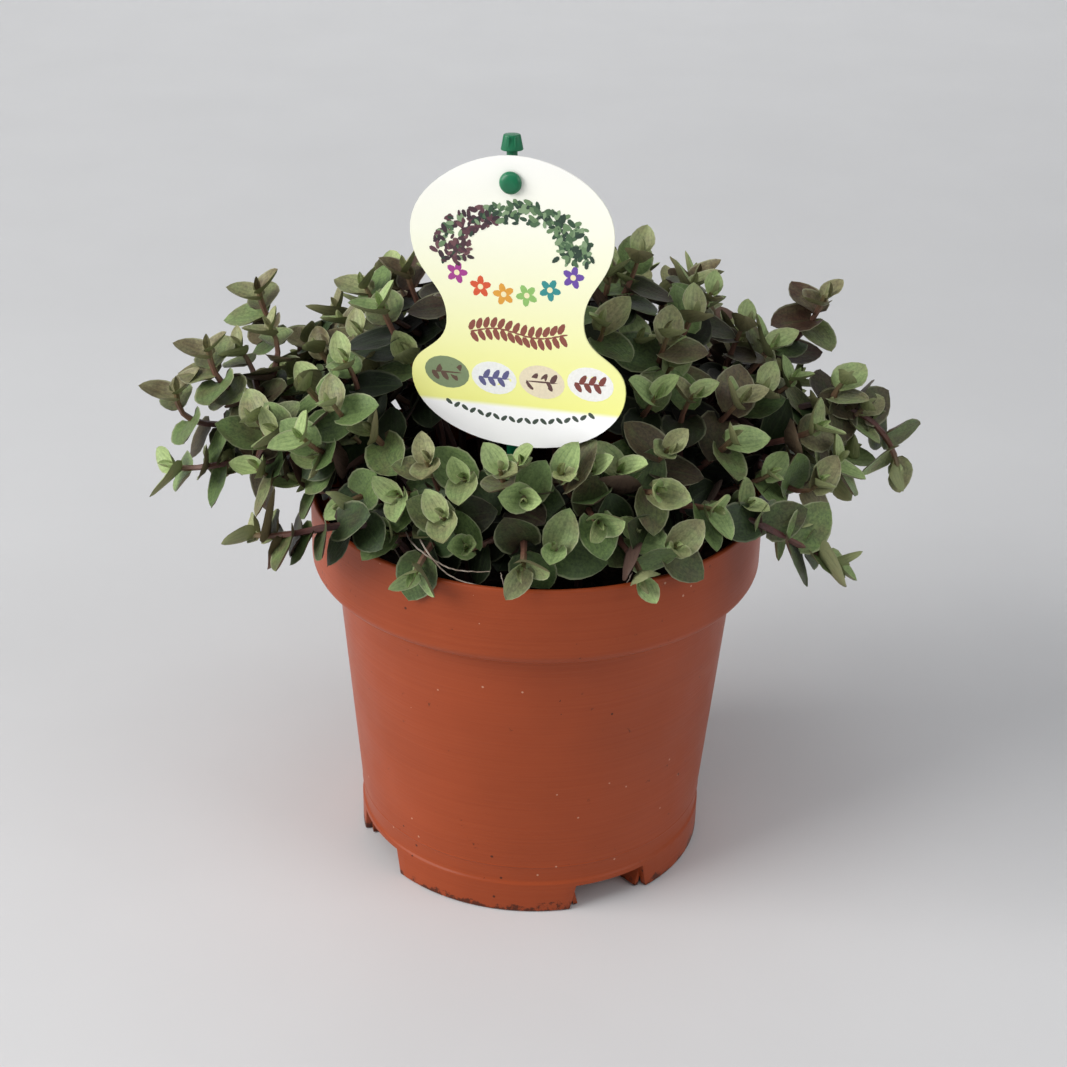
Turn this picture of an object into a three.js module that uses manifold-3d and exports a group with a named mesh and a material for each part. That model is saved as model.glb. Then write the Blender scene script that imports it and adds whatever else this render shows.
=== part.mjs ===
// A turtle vine (Callisia repens) in a plastic nursery pot, with a plant label on a green stake.
// Millimetres, +Z up, the pot standing on z = 0, and the side with the label facing -Y.
// The pot, the soil, the label, the stake and each rooted vine are separate closed solids. A vine is one
// body: its stem, the side shoot that forks from it and their leaves, whose bases clasp the stem.

import * as THREE from "three";
import { mergeVertices } from "three/addons/utils/BufferGeometryUtils.js";
import Module from "manifold-3d";

// The pot, a 12 cm nursery pot: a tapering body under a deep straight collar, on a notched foot ring.
const POT = {
  rimRadius: 60,
  height: 105.5,
  collarHeight: 20,
  bodyTopRadius: 53.7,
  bodyBaseRadius: 47.2,
  footRadius: 47.8,
  footHeight: 8.5,
  footWidth: 2.2,
  footLip: 1,
  wall: 1.3,
  step: 2.4,
  ledge: 0.9,
  sides: 36,
};
const NOTCHES = { count: 4, first: 28.3, width: 21, depth: 7.6, reach: 20 };
const DRAINS = { count: 6, ring: 31, radius: 4, sides: 6 };

// The potting soil fills the pot to below the rim, a little higher in the middle.
const SOIL = { top: 92.5, edgeDrop: 1, mound: 2.5, shoulder: 0.6, gap: 0.35, sides: 24 };
const ROOT_HOLE = { gap: 0.4, below: 1 };

// The label: a waisted card with a small upper and a larger lower lobe, hung by its hole on the stake's peg.
const LABEL = {
  height: 71.5,
  upperHalfWidth: 25.1,
  waistHalfWidth: 17.4,
  lowerHalfWidth: 28,
  aside: -0.5,
  upperCentre: 18.7,
  waistCentre: 39.5,
  lowerCentre: 55.5,
  thickness: 0.8,
  holeDrop: 6.3,
  holeRadius: 1.75,
  curveSteps: 4,
};
const LABEL_HANDLES = { top: 0.44, bottom: 0.62, upper: 11, waist: 9, lower: 8.5 };
const LABEL_PLACE = { peg: [-7.6, -29.2, 197.5], lean: 5, turn: 13, roll: 4.5, twist: 12 };

// The stake: a round rod with a flattened nib on top, wider below than above, and a barbed peg that points
// forward through the label.
const STAKE = {
  foot: [-4.2, -26.2, 24],
  behind: 3.2,
  radius: 1.6,
  pointLength: 9,
  neckLength: 5.5,
  nibLow: 1.2,
  nibTop: 4.9,
  nibRadius: 2.7,
  nibTopRadius: 2,
  nibFlatness: 0.72,
  nibSeat: 0.4,
  sides: 8,
};
const PEG = {
  root: 3.8,
  neck: 1.1,
  radius: 1.25,
  headRadius: 2.75,
  headTaper: 0.8,
  headLip: 0.3,
  headLength: 1.5,
};
const STAKE_HOLE = { radius: 2.2, sides: 6, below: 1.5, above: 10 };

// The foliage. Shoots end on a flattened dome, in rings counted down from its top. Each ring gives the angle
// from the vertical, the number of shoots, how far from the pot's axis their vines are rooted, and how far
// to each side of the label's middle it stays open. The top ring stands behind the label.
const DOME = { radius: 83, height: 67, centre: 97 };
const RINGS = [
  { polar: 11, shoots: 4, root: 7, open: 0 },
  { polar: 30, shoots: 10, root: 18, open: 36 },
  { polar: 47, shoots: 14, root: 28, open: 66 },
  { polar: 62, shoots: 17, root: 37.4, open: 66 },
  { polar: 78, shoots: 18, root: 45, open: 77 },
];
const SPREAD = { azimuth: 0.18, polar: 3, radius: 0.06, length: 0.12, rise: 5 };

// The vines in the rings' open sector end flatter and lower, below the label's edge, each given by its root
// and the tips of its shoots.
const LABEL_AZIMUTH = -88;
const FRONT_VINES = [
  { root: [-40, -20], tips: [[-55, -30, 125], [-47, -40, 118]] },
  { root: [-30, -28], tips: [[-41, -33, 134], [-34, -47, 124]] },
  { root: [-17, -36], tips: [[-18, -47, 129], [-29, -57, 108]] },
  { root: [-6, -40], tips: [[-3, -51, 126], [-3, -61, 112]] },
  { root: [11, -36], tips: [[15, -54, 121], [26, -59, 109]] },
  { root: [24, -32], tips: [[29, -48, 127], [43, -45, 121]] },
  { root: [37, -22], tips: [[48, -30, 133], [62, -34, 112]] },
  { root: [-24, -12], tips: [[-33, -15, 147], [-57, -14, 138]] },
  { root: [22, -11], tips: [[33, -17, 147], [56, -12, 139]] },
];

// Runners are longer shoots that leave the dome, each given by the four points of its curve.
const RUNNERS = [
  { name: "left_low", points: [[-26, -41, 0], [-29, -44, 132], [-52, -54, 113], [-70, -41, 109]], leaves: 6 },
  { name: "left_mid", points: [[-46, -17, 0], [-50, -20, 138], [-80, -16, 112], [-94, -14, 114]], leaves: 4 },
  { name: "left_far", points: [[-48, 4, 0], [-50, 6, 144], [-95, 0, 106], [-94, 0, 131]], leaves: 5 },
  { name: "left_rise", points: [[-44, -6, 0], [-47, -6, 146], [-83, -6, 116], [-85, -4, 143]], leaves: 4 },
  { name: "left_high", points: [[-34, 20, 0], [-40, 18, 140], [-75, 10, 122], [-78, 9, 149]], leaves: 4 },
  { name: "right_low", points: [[40, -26, 0], [44, -32, 134], [58, -37, 112], [78, -31, 104]], leaves: 5 },
  { name: "right_far", points: [[46, 2, 0], [50, -2, 144], [88, -3, 138], [94, -5, 115]], leaves: 5 },
  { name: "right_high", points: [[38, 22, 0], [44, 20, 138], [66, 16, 128], [74, 15, 154]], leaves: 5 },
  { name: "back_left", points: [[-26, 39, 0], [-30, 46, 146], [-52, 84, 122], [-58, 90, 98]], leaves: 5 },
  { name: "back_right", points: [[26, 40, 0], [30, 48, 146], [46, 84, 124], [50, 93, 104]], leaves: 5 },
];

// A shoot: leaves clasp the stem alternately, crowded and upright at the tip and wider apart below it.
const STEM = { radius: 1.5, sides: 3, steps: 4, bury: 12, rise: 34, lead: 24, tilt: 0.55 };
const OVER_RIM = { polar: 58, height: 119 };
const FORK = { from: 0.42, steps: 3, lead: 20, thinner: 0.15 };
const LEAF = {
  length: 17,
  width: 0.84,
  thickness: 0.72,
  cup: 0.12,
  droop: 0.1,
  outline: [[0, 0], [0.3, 1], [0.76, 0.68], [1, 0], [0.76, -0.68], [0.3, -1]],
  clasp: 0.25,
  lowest: 0.02,
};
const NODES_DOWN = [0.6, 2.4, 5.2, 9.4, 14.6, 20.6, 27.2, 34];
const LEAF_SCALE = [0.66, 0.84, 1, 1.04, 1, 0.95, 0.92, 0.9];
const LEAF_RISE = [48, 38, 22, 14, 10, 8, 4, 2];
const SHOOT_LEAVES = 4;
const FRONT_LEAVES = 5;
const FIRST_INDEX = { front: 100, runner: 200 };
const TURN = { leaf: 174, pair: 96, wobble: 8 };

// What would cross another vine, the pot or the label is turned clear of it: a vine by one of these angles
// round the pot, a leaf by one of these pairs of angles, up from and round its stem.
const NUDGES = [0, 2.5, -2.5, 5, -5, 7.5, -7.5, 10, -10];
const BENDS = [
  [0, 0], [14, 0], [-12, 0], [0, 22], [0, -22], [24, 18], [24, -18], [-22, 12], [34, 0], [6, 40], [6, -40],
  [16, 62], [16, -62], [44, 30], [44, -30],
];
const SMALLER = 0.78;
const CLEARANCE = 0.45;
const READING = { depth: 62, rise: 0.42 };

const COLOURS = { pot: "#a5492c", soil: "#2a1d15", label: "#f3efb4", stake: "#0f6b45", foliage: "#66774c" };
const ROUGHNESS = { pot: 0.42, soil: 0.95, label: 0.35, stake: 0.4, foliage: 0.6 };

// Chance is the fraction left by a steep wave, so that it is the same for each shoot every time.
const WAVE = { index: 12.9898, channel: 78.233, start: 4.1, height: 43758.5453 };

const wasm = await Module();
wasm.setup();

const radians = THREE.MathUtils.degToRad;
const vector = (point) => new THREE.Vector3(...point);

// A repeatable number from 0 to 1 for each shoot or leaf, with one channel for each use of it.
function chance(index, channel) {
  const wave = Math.sin(index * WAVE.index + channel * WAVE.channel + WAVE.start) * WAVE.height;
  return wave - Math.floor(wave);
}

// The same number from -1 to 1.
const swing = (index, channel) => 2 * chance(index, channel) - 1;

// A closed geometry as a solid that can be joined and cut.
function solidOf(geometry) {
  const bare = geometry.clone();
  bare.deleteAttribute("normal");
  bare.deleteAttribute("uv");
  const merged = mergeVertices(bare, 1e-4);
  return new wasm.Manifold(
    new wasm.Mesh({
      numProp: 3,
      vertProperties: merged.attributes.position.array,
      triVerts: new Uint32Array(merged.index.array),
    }),
  );
}

function geometryOf(solid) {
  const mesh = solid.getMesh();
  const geometry = new THREE.BufferGeometry();
  geometry.setAttribute("position", new THREE.BufferAttribute(mesh.vertProperties, 3));
  geometry.setIndex(new THREE.BufferAttribute(mesh.triVerts, 1));
  geometry.computeVertexNormals();
  return geometry;
}

// A profile of [radius, height] points turned about the Z axis.
function turned(profile, sides) {
  const points = profile.map(([radius, height]) => new THREE.Vector2(radius, height));
  return new THREE.LatheGeometry(points, sides).rotateX(Math.PI / 2);
}

function cylinder(radius, height, sides) {
  return new THREE.CylinderGeometry(radius, radius, height, sides).rotateX(Math.PI / 2);
}

// The pot's wall has one thickness all over, so its inside follows its outside through the collar's step.
function potProfile() {
  const { wall, step, ledge, footWidth, footHeight, height, collarHeight } = POT;
  const collarBase = height - collarHeight;
  return [
    [0, footHeight],
    [POT.footRadius - footWidth, footHeight],
    [POT.footRadius - footWidth, 0],
    [POT.footRadius, 0],
    [POT.footRadius, footHeight],
    [POT.bodyBaseRadius, footHeight + POT.footLip],
    [POT.bodyTopRadius, collarBase - step],
    [POT.rimRadius, collarBase],
    [POT.rimRadius, height],
    [POT.rimRadius - wall, height],
    [POT.rimRadius - wall, collarBase + ledge],
    [POT.bodyTopRadius - wall, collarBase - step + ledge],
    [POT.bodyBaseRadius - wall, footHeight + wall],
    [0, footHeight + wall],
  ];
}

function potSolid() {
  let pot = solidOf(turned(potProfile(), POT.sides));
  for (let i = 0; i < NOTCHES.count; i++) {
    const notch = new THREE.BoxGeometry(NOTCHES.reach, NOTCHES.width, NOTCHES.depth * 2);
    notch.translate(POT.footRadius, 0, 0);
    notch.rotateZ(radians(NOTCHES.first + (i * 360) / NOTCHES.count));
    pot = pot.subtract(solidOf(notch));
  }
  for (let i = 0; i < DRAINS.count; i++) {
    const drain = cylinder(DRAINS.radius, POT.footHeight * 2, DRAINS.sides);
    drain.translate(DRAINS.ring, 0, POT.footHeight);
    drain.rotateZ((i * 2 * Math.PI) / DRAINS.count);
    pot = pot.subtract(solidOf(drain));
  }
  return pot;
}

function soilSolid(vines) {
  const { wall, step, footHeight } = POT;
  const ledgeTop = POT.height - POT.collarHeight + POT.ledge;
  const inset = wall + SOIL.gap;
  let soil = solidOf(
    turned(
      [
        [0, footHeight + inset],
        [POT.bodyBaseRadius - inset, footHeight + inset],
        [POT.bodyTopRadius - inset, ledgeTop - step + SOIL.gap],
        [POT.rimRadius - inset, ledgeTop + SOIL.gap * 2],
        [POT.rimRadius - inset, SOIL.top - SOIL.edgeDrop],
        [POT.rimRadius * SOIL.shoulder, SOIL.top + SOIL.mound * SOIL.shoulder],
        [0, SOIL.top + SOIL.mound],
      ],
      SOIL.sides,
    ),
  );
  for (const vine of vines) soil = soil.subtract(rootHole(vine.curves[0]));
  const length = SOIL.top + STAKE_HOLE.above - STAKE.foot[2];
  const bore = cylinder(STAKE_HOLE.radius, length, STAKE_HOLE.sides);
  bore.translate(0, 0, length / 2 - STAKE_HOLE.below);
  return soil.subtract(solidOf(bore.applyMatrix4(stakeMatrix())));
}

// A root's hole follows its stem, wider all round and a little deeper.
function rootHole(curve) {
  const deeper = curve.clone();
  deeper.v0.z -= ROOT_HOLE.below;
  return stemSolid(deeper, STEM.steps, STEM.radius + ROOT_HOLE.gap / Math.cos(Math.PI / STEM.sides));
}

// The stake's own frame: its axis runs from its buried point to just behind the label's hole.
function stakeMatrix() {
  const foot = vector(STAKE.foot);
  const head = vector(LABEL_PLACE.peg).add(new THREE.Vector3(0, STAKE.behind, 0));
  const axis = head.sub(foot).normalize();
  const turn = new THREE.Quaternion().setFromUnitVectors(new THREE.Vector3(0, 0, 1), axis);
  return new THREE.Matrix4().compose(foot, turn, new THREE.Vector3(1, 1, 1));
}

function stakeSolid() {
  const neck = vector(LABEL_PLACE.peg).distanceTo(vector(STAKE.foot)) + STAKE.neckLength;
  const nibLow = neck + STAKE.nibLow;
  const nibTop = neck + STAKE.nibTop;
  const rod = turned(
    [
      [0, 0],
      [STAKE.radius, STAKE.pointLength],
      [STAKE.radius, nibLow + STAKE.nibSeat],
      [0, nibLow + STAKE.nibSeat],
    ],
    STAKE.sides,
  ).applyMatrix4(stakeMatrix());
  const nib = turned(
    [
      [0, nibLow],
      [STAKE.nibRadius, nibLow],
      [STAKE.nibTopRadius, nibTop],
      [0, nibTop],
    ],
    STAKE.sides,
  ).scale(1, STAKE.nibFlatness, 1);
  nib.applyMatrix4(stakeMatrix());
  const headTop = PEG.neck + PEG.headLength;
  const peg = turned(
    [
      [0, -PEG.root],
      [PEG.radius, -PEG.root],
      [PEG.radius, PEG.neck],
      [PEG.headRadius, PEG.neck + PEG.headLip],
      [PEG.headRadius * PEG.headTaper, headTop],
      [0, headTop],
    ],
    STAKE.sides,
  );
  peg.rotateX(Math.PI / 2).applyMatrix4(labelMatrix());
  return solidOf(rod).add(solidOf(nib)).add(solidOf(peg));
}

// The label hangs from the peg, leaning back, turned a little to its right and tilted. Its card twists slowly
// below the peg.
function labelMatrix() {
  const { peg, lean, roll, turn } = LABEL_PLACE;
  const facing = new THREE.Euler(radians(-lean), radians(-roll), radians(-turn), "ZXY");
  return new THREE.Matrix4().makeRotationFromEuler(facing).setPosition(...peg);
}

// The outline, x across and y up, with the peg's hole at the origin. Each knot is the half width, the
// drop below the top edge and the curve's handle there, across and down.
function labelOutline() {
  const { upperHalfWidth: upper, waistHalfWidth: waist, lowerHalfWidth: lower } = LABEL;
  const handles = LABEL_HANDLES;
  const knots = [
    [0, 0, upper * handles.top, 0],
    [upper, LABEL.upperCentre, 0, handles.upper],
    [waist, LABEL.waistCentre, 0, handles.waist],
    [lower, LABEL.lowerCentre, 0, handles.lower],
    [0, LABEL.height, lower * handles.bottom, 0],
  ];
  const height = (drop) => LABEL.holeDrop - drop;
  const across = (x) => x + LABEL.aside;
  const shape = new THREE.Shape().moveTo(across(0), height(0));
  for (const sign of [1, -1]) {
    const path = sign > 0 ? knots : [...knots].reverse();
    for (let i = 1; i < path.length; i++) {
      const [x0, drop0, across0, down0] = path[i - 1];
      const [x1, drop1, across1, down1] = path[i];
      shape.bezierCurveTo(
        across(sign * (x0 + across0)),
        height(drop0 + sign * down0),
        across(sign * (x1 + across1)),
        height(drop1 - sign * down1),
        across(sign * x1),
        height(drop1),
      );
    }
  }
  return shape;
}

function labelGeometry(thickness, withHole) {
  const shape = labelOutline();
  if (withHole) {
    const hole = new THREE.Path();
    hole.absarc(0, 0, LABEL.holeRadius, 0, 2 * Math.PI, false);
    shape.holes.push(hole);
  }
  const sheet = new THREE.ExtrudeGeometry(shape, {
    depth: thickness,
    bevelEnabled: false,
    curveSegments: LABEL.curveSteps,
  });
  return twisted(sheet.rotateX(Math.PI / 2));
}

function twisted(sheet) {
  const position = sheet.attributes.position;
  const upright = new THREE.Vector3(0, 0, 1);
  for (let i = 0; i < position.count; i++) {
    const point = new THREE.Vector3().fromBufferAttribute(position, i);
    const share = THREE.MathUtils.clamp(point.z / (LABEL.holeDrop - LABEL.height), 0, 1);
    point.applyAxisAngle(upright, radians(-LABEL_PLACE.twist * share));
    position.setXYZ(i, point.x, point.y, point.z);
  }
  return sheet;
}

function labelSolid() {
  return solidOf(labelGeometry(LABEL.thickness, true).applyMatrix4(labelMatrix()));
}

// The space in front of the label, which the foliage leaves open so that the label can be read.
function readingSolid() {
  const space = labelGeometry(READING.depth, false);
  space.translate(0, -LABEL.thickness - CLEARANCE, 0);
  const rising = new THREE.Matrix4().makeShear(0, 0, 0, -READING.rise, 0, 0);
  space.applyMatrix4(rising).applyMatrix4(labelMatrix());
  return solidOf(space);
}

// A point of the dome at a polar and an azimuth angle in degrees, and its outward direction.
function onDome(polar, azimuth, scale) {
  const [p, a] = [radians(polar), radians(azimuth)];
  const out = new THREE.Vector3(Math.sin(p) * Math.cos(a), Math.sin(p) * Math.sin(a), Math.cos(p));
  const point = out.clone().multiply(new THREE.Vector3(DOME.radius, DOME.radius, DOME.height));
  point.multiplyScalar(scale);
  point.z += DOME.centre;
  return { point, out, polar };
}

const azimuthOf = (point) => THREE.MathUtils.radToDeg(Math.atan2(point.y, point.x));
const fromLabel = (azimuth) => THREE.MathUtils.euclideanModulo(azimuth - LABEL_AZIMUTH, 360);

// The shoots of the rings, two neighbours to a vine.
function ringVines() {
  const vines = [];
  let index = 0;
  RINGS.forEach((ring, row) => {
    const spacing = 360 / ring.shoots;
    const shoots = [];
    for (let i = 0; i < ring.shoots; i++) {
      index++;
      const azimuth = spacing * (i + 0.5 * row + SPREAD.azimuth * swing(index, 1));
      const polar = ring.polar + SPREAD.polar * swing(index, 2);
      const scale = 1 + SPREAD.radius * swing(index, 3);
      const aside = 180 - Math.abs(180 - fromLabel(azimuth));
      if (aside < ring.open) continue;
      shoots.push({ index, azimuth, ...onDome(polar, azimuth, scale), leaves: SHOOT_LEAVES });
    }
    shoots.sort((a, b) => fromLabel(a.azimuth) - fromLabel(b.azimuth));
    for (let i = 0; i < shoots.length; i += 2) {
      const pair = shoots.slice(i, i + 2);
      const middle = pair.reduce((sum, shoot) => sum.add(shoot.out), new THREE.Vector3());
      const root = middle.setZ(0).setLength(ring.root);
      vines.push({ name: `vine_${row + 1}_${i / 2 + 1}`, root, shoots: pair });
    }
  });
  return vines;
}

function frontVines() {
  return FRONT_VINES.map((vine, i) => ({
    name: `vine_front_${i + 1}`,
    root: new THREE.Vector3(...vine.root, 0),
    shoots: vine.tips.map((tip, order) => {
      const point = vector(tip);
      const azimuth = azimuthOf(point);
      const rise = THREE.MathUtils.clamp((point.z - DOME.centre) / DOME.height, 0, 1);
      const polar = THREE.MathUtils.radToDeg(Math.acos(rise));
      const { out } = onDome(polar, azimuth, 1);
      return { index: FIRST_INDEX.front + 2 * i + order, azimuth, point, out, polar, leaves: FRONT_LEAVES };
    }),
  }));
}

// A vine's stem rises from its root and turns outwards to its first shoot's tip. The second shoot forks from
// it below the leaves. nudge turns the whole vine about the pot's axis.
function rootedCurves(vine, nudge) {
  const base = vine.root.clone().setZ(SOIL.top - STEM.bury);
  const curves = [];
  vine.shoots.forEach((shoot, order) => {
    const facing = shoot.out.clone().setZ(shoot.out.z + STEM.tilt).normalize();
    const lead = shoot.point.clone().addScaledVector(facing, order ? -FORK.lead : -STEM.lead);
    if (shoot.polar > OVER_RIM.polar) lead.z = Math.max(lead.z, OVER_RIM.height);
    if (order === 0) {
      const rise = base.clone().setZ(SOIL.top + STEM.rise);
      curves.push(curveOf([base, rise, lead, shoot.point], nudge));
      return;
    }
    const fork = stemPoint(curves[0], STEM.steps, FORK.from);
    const onward = fork.clone().addScaledVector(curves[0].getTangentAt(FORK.from), FORK.lead / 2);
    const [start, next] = [turnedPoint(fork, -nudge), turnedPoint(onward, -nudge)];
    curves.push(curveOf([start, next, lead, shoot.point], nudge));
  });
  return curves;
}

// The point at a share of a stem's length, on the straight runs between the steps of its curve.
function stemPoint(curve, steps, share) {
  const step = Math.min(Math.floor(share * steps), steps - 1);
  const [start, end] = [curve.getPointAt(step / steps), curve.getPointAt((step + 1) / steps)];
  return start.lerp(end, share * steps - step);
}

function turnedPoint(point, angle) {
  return point.clone().applyAxisAngle(new THREE.Vector3(0, 0, 1), radians(angle));
}

function curveOf(points, nudge) {
  return new THREE.CubicBezierCurve3(...points.map((point) => turnedPoint(point, nudge)));
}

function runnerVines() {
  return RUNNERS.map((runner, i) => {
    const points = runner.points.map(vector);
    points[0].z = SOIL.top - STEM.bury;
    const azimuth = azimuthOf(points[3]);
    const shoots = [{ index: FIRST_INDEX.runner + i, azimuth, leaves: runner.leaves }];
    return { name: `runner_${runner.name}`, points, shoots };
  });
}

function stemSolid(curve, steps, radius) {
  const section = new THREE.Shape();
  for (let i = 0; i < STEM.sides; i++) {
    const angle = (i * 2 * Math.PI) / STEM.sides;
    section[i ? "lineTo" : "moveTo"](radius * Math.cos(angle), radius * Math.sin(angle));
  }
  return solidOf(new THREE.ExtrudeGeometry(section, { steps, bevelEnabled: false, extrudePath: curve }));
}

const stepsOf = (shootNumber) => (shootNumber ? FORK.steps : STEM.steps);

function stems(curves, radius) {
  return curves
    .map((curve, i) => stemSolid(curve, stepsOf(i), i ? radius - FORK.thinner : radius))
    .reduce((whole, stem) => whole.add(stem));
}

// An ovate blade along +X with its upper face to +Z, curled up at the sides and down at the tip. extra makes
// it larger all round, and start leaves off the share of its length that clasps the stem.
function bladeGeometry(length, extra = 0, start = 0) {
  const half = (length * LEAF.width) / 2;
  const outline = LEAF.outline.map(([along, across]) => {
    const x = length * (start + (1 - start) * along);
    return new THREE.Vector2(along > 0 ? x + extra : x - extra, across * (half + extra));
  });
  const depth = LEAF.thickness + 2 * extra;
  const blade = new THREE.ExtrudeGeometry(new THREE.Shape(outline), { depth, bevelEnabled: false });
  const position = blade.attributes.position;
  for (let i = 0; i < position.count; i++) {
    const [x, y] = [position.getX(i), position.getY(i)];
    const lift = length * (LEAF.cup * (y / half) ** 2 - LEAF.droop * (x / length) ** 2);
    position.setZ(i, position.getZ(i) - depth / 2 + lift);
  }
  return blade;
}

// Where a leaf stands: its base on the stem, its length across the stem and its upper face to the tip.
function leafMatrix(curve, steps, shoot, order, bend) {
  const share = Math.max(LEAF.lowest, 1 - NODES_DOWN[order] / curve.getLength());
  const tangent = curve.getTangentAt(share);
  const aside = new THREE.Vector3(-Math.sin(radians(shoot.azimuth)), Math.cos(radians(shoot.azimuth)), 0);
  aside.addScaledVector(tangent, -aside.dot(tangent)).normalize();
  const leaf = leafIndex(shoot, order);
  const [up, round] = bend;
  const pair = TURN.leaf * order + TURN.pair * Math.floor(order / 2);
  const turn = 360 * chance(shoot.index, 5) + pair + TURN.wobble * swing(leaf, 6) + round;
  const outward = aside.applyAxisAngle(tangent, radians(turn));
  const rise = radians(LEAF_RISE[order] + up + SPREAD.rise * swing(leaf, 7));
  const forward = outward.clone().multiplyScalar(Math.cos(rise)).addScaledVector(tangent, Math.sin(rise));
  const upper = outward.clone().multiplyScalar(-Math.sin(rise)).addScaledVector(tangent, Math.cos(rise));
  const matrix = new THREE.Matrix4().makeBasis(forward, upper.clone().cross(forward), upper);
  return matrix.setPosition(stemPoint(curve, steps, share));
}

const leafIndex = (shoot, order) => shoot.index * 10 + order;

function leafLength(shoot, order) {
  return LEAF.length * LEAF_SCALE[order] * (1 + SPREAD.length * swing(leafIndex(shoot, order), 8));
}

// Whether a solid stays clear of each of the others.
function isClear(solid, others) {
  const box = boxOf(solid);
  return others.every((other) => !box.intersectsBox(other.box) || solid.intersect(other.solid).isEmpty());
}

function boxOf(solid) {
  const bounds = solid.boundingBox();
  return new THREE.Box3(vector(bounds.min), vector(bounds.max));
}

function entryOf(solid, owner) {
  return { solid, owner, box: boxOf(solid) };
}

// Grows every vine: all the stems first, then the leaves, from the tips down.
function growVines(fixed) {
  const placed = fixed.map((solid) => entryOf(solid));
  const vines = [...frontVines(), ...ringVines(), ...runnerVines()].filter((vine) => growStem(vine, placed));
  const most = Math.max(...vines.flatMap((vine) => vine.shoots.map((shoot) => shoot.leaves)));
  for (let order = 0; order < most; order++) {
    for (const vine of vines) {
      vine.shoots.forEach((shoot, i) => {
        if (order < shoot.leaves) growLeaf(vine, i, order, placed);
      });
    }
  }
  return vines;
}

// A vine that finds no room for its stem is left out.
function growStem(vine, placed) {
  const curvesAt = (nudge) => (vine.points ? [curveOf(vine.points, nudge)] : rootedCurves(vine, nudge));
  const nudge = NUDGES.find((trial) => isClear(stems(curvesAt(trial), STEM.radius + CLEARANCE), placed));
  if (nudge === undefined) return false;
  vine.curves = curvesAt(nudge);
  vine.solid = stems(vine.curves, STEM.radius);
  placed.push(entryOf(vine.solid, vine.name));
  return true;
}

// A leaf keeps clear of the other vines and, past its clasp, of its own one. If it can't, it is tried
// smaller, then touching its own vine, and one that finds no room even so is left off.
function growLeaf(vine, shootNumber, order, placed) {
  const [curve, shoot] = [vine.curves[shootNumber], vine.shoots[shootNumber]];
  const others = placed.filter((entry) => entry.owner !== vine.name);
  const own = [entryOf(vine.solid)];
  const matrices = BENDS.map((bend) => leafMatrix(curve, stepsOf(shootNumber), shoot, order, bend));
  const fit = (length, apart) => {
    const room = bladeGeometry(length, CLEARANCE);
    const open = bladeGeometry(length, 0, LEAF.clasp);
    const fits = (matrix) =>
      isClear(solidOf(room.clone().applyMatrix4(matrix)), others) &&
      (!apart || isClear(solidOf(open.clone().applyMatrix4(matrix)), own));
    const matrix = matrices.find(fits);
    return matrix && solidOf(bladeGeometry(length).applyMatrix4(matrix));
  };
  const length = leafLength(shoot, order);
  const leaf = fit(length, true) ?? fit(length * SMALLER, true) ?? fit(length * SMALLER, false);
  if (!leaf) return;
  vine.solid = vine.solid.add(leaf);
  placed.push(entryOf(leaf, vine.name));
}

function material(name, part) {
  return new THREE.MeshStandardMaterial({ name, color: COLOURS[part], roughness: ROUGHNESS[part] });
}

const plant = new THREE.Group();

function addMesh(name, solid, finish) {
  const mesh = new THREE.Mesh(geometryOf(solid), finish);
  mesh.name = name;
  plant.add(mesh);
}

const pot = potSolid();
const label = labelSolid();
const stake = stakeSolid();
const vines = growVines([pot, label, stake, readingSolid()]);
addMesh("pot", pot, material("terracotta_plastic", "pot"));
addMesh("soil", soilSolid(vines), material("peat", "soil"));
addMesh("label", label, material("label_card", "label"));
addMesh("stake", stake, material("green_plastic", "stake"));
const foliage = material("foliage", "foliage");
for (const vine of vines) addMesh(vine.name, vine.solid, foliage);

// The origin is on the ground, below the middle of the whole plant.
const middle = new THREE.Box3().setFromObject(plant).getCenter(new THREE.Vector3());
plant.position.set(-middle.x, -middle.y, 0);

export default plant;
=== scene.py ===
import math
import random
from functools import partial

import bmesh
import bpy
import numpy as np
from mathutils import Matrix, Vector
from mathutils.bvhtree import BVHTree
from mathutils.kdtree import KDTree


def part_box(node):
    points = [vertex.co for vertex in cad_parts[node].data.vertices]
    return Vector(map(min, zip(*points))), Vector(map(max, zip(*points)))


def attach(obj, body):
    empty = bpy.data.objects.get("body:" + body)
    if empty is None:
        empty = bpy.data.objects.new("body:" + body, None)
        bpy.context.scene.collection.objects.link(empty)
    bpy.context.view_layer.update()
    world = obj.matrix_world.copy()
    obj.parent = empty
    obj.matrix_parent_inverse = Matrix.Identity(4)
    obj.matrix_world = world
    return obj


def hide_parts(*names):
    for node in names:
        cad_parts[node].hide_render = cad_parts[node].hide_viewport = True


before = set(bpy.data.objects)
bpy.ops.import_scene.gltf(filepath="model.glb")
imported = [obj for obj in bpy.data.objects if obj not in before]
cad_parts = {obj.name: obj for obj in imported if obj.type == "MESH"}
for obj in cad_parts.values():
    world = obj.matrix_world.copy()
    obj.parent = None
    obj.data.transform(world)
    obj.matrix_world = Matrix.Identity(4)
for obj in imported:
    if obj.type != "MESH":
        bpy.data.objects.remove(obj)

bl_info = {
    "name": "Potted turtle vine",
    "version": (1, 0, 0),
    "blender": (4, 5, 0),
    "location": "3D View > Sidebar > Turtle vine",
    "description": "A turtle vine in a nursery pot with a plant label on a stake",
    "category": "Object",
}

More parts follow.
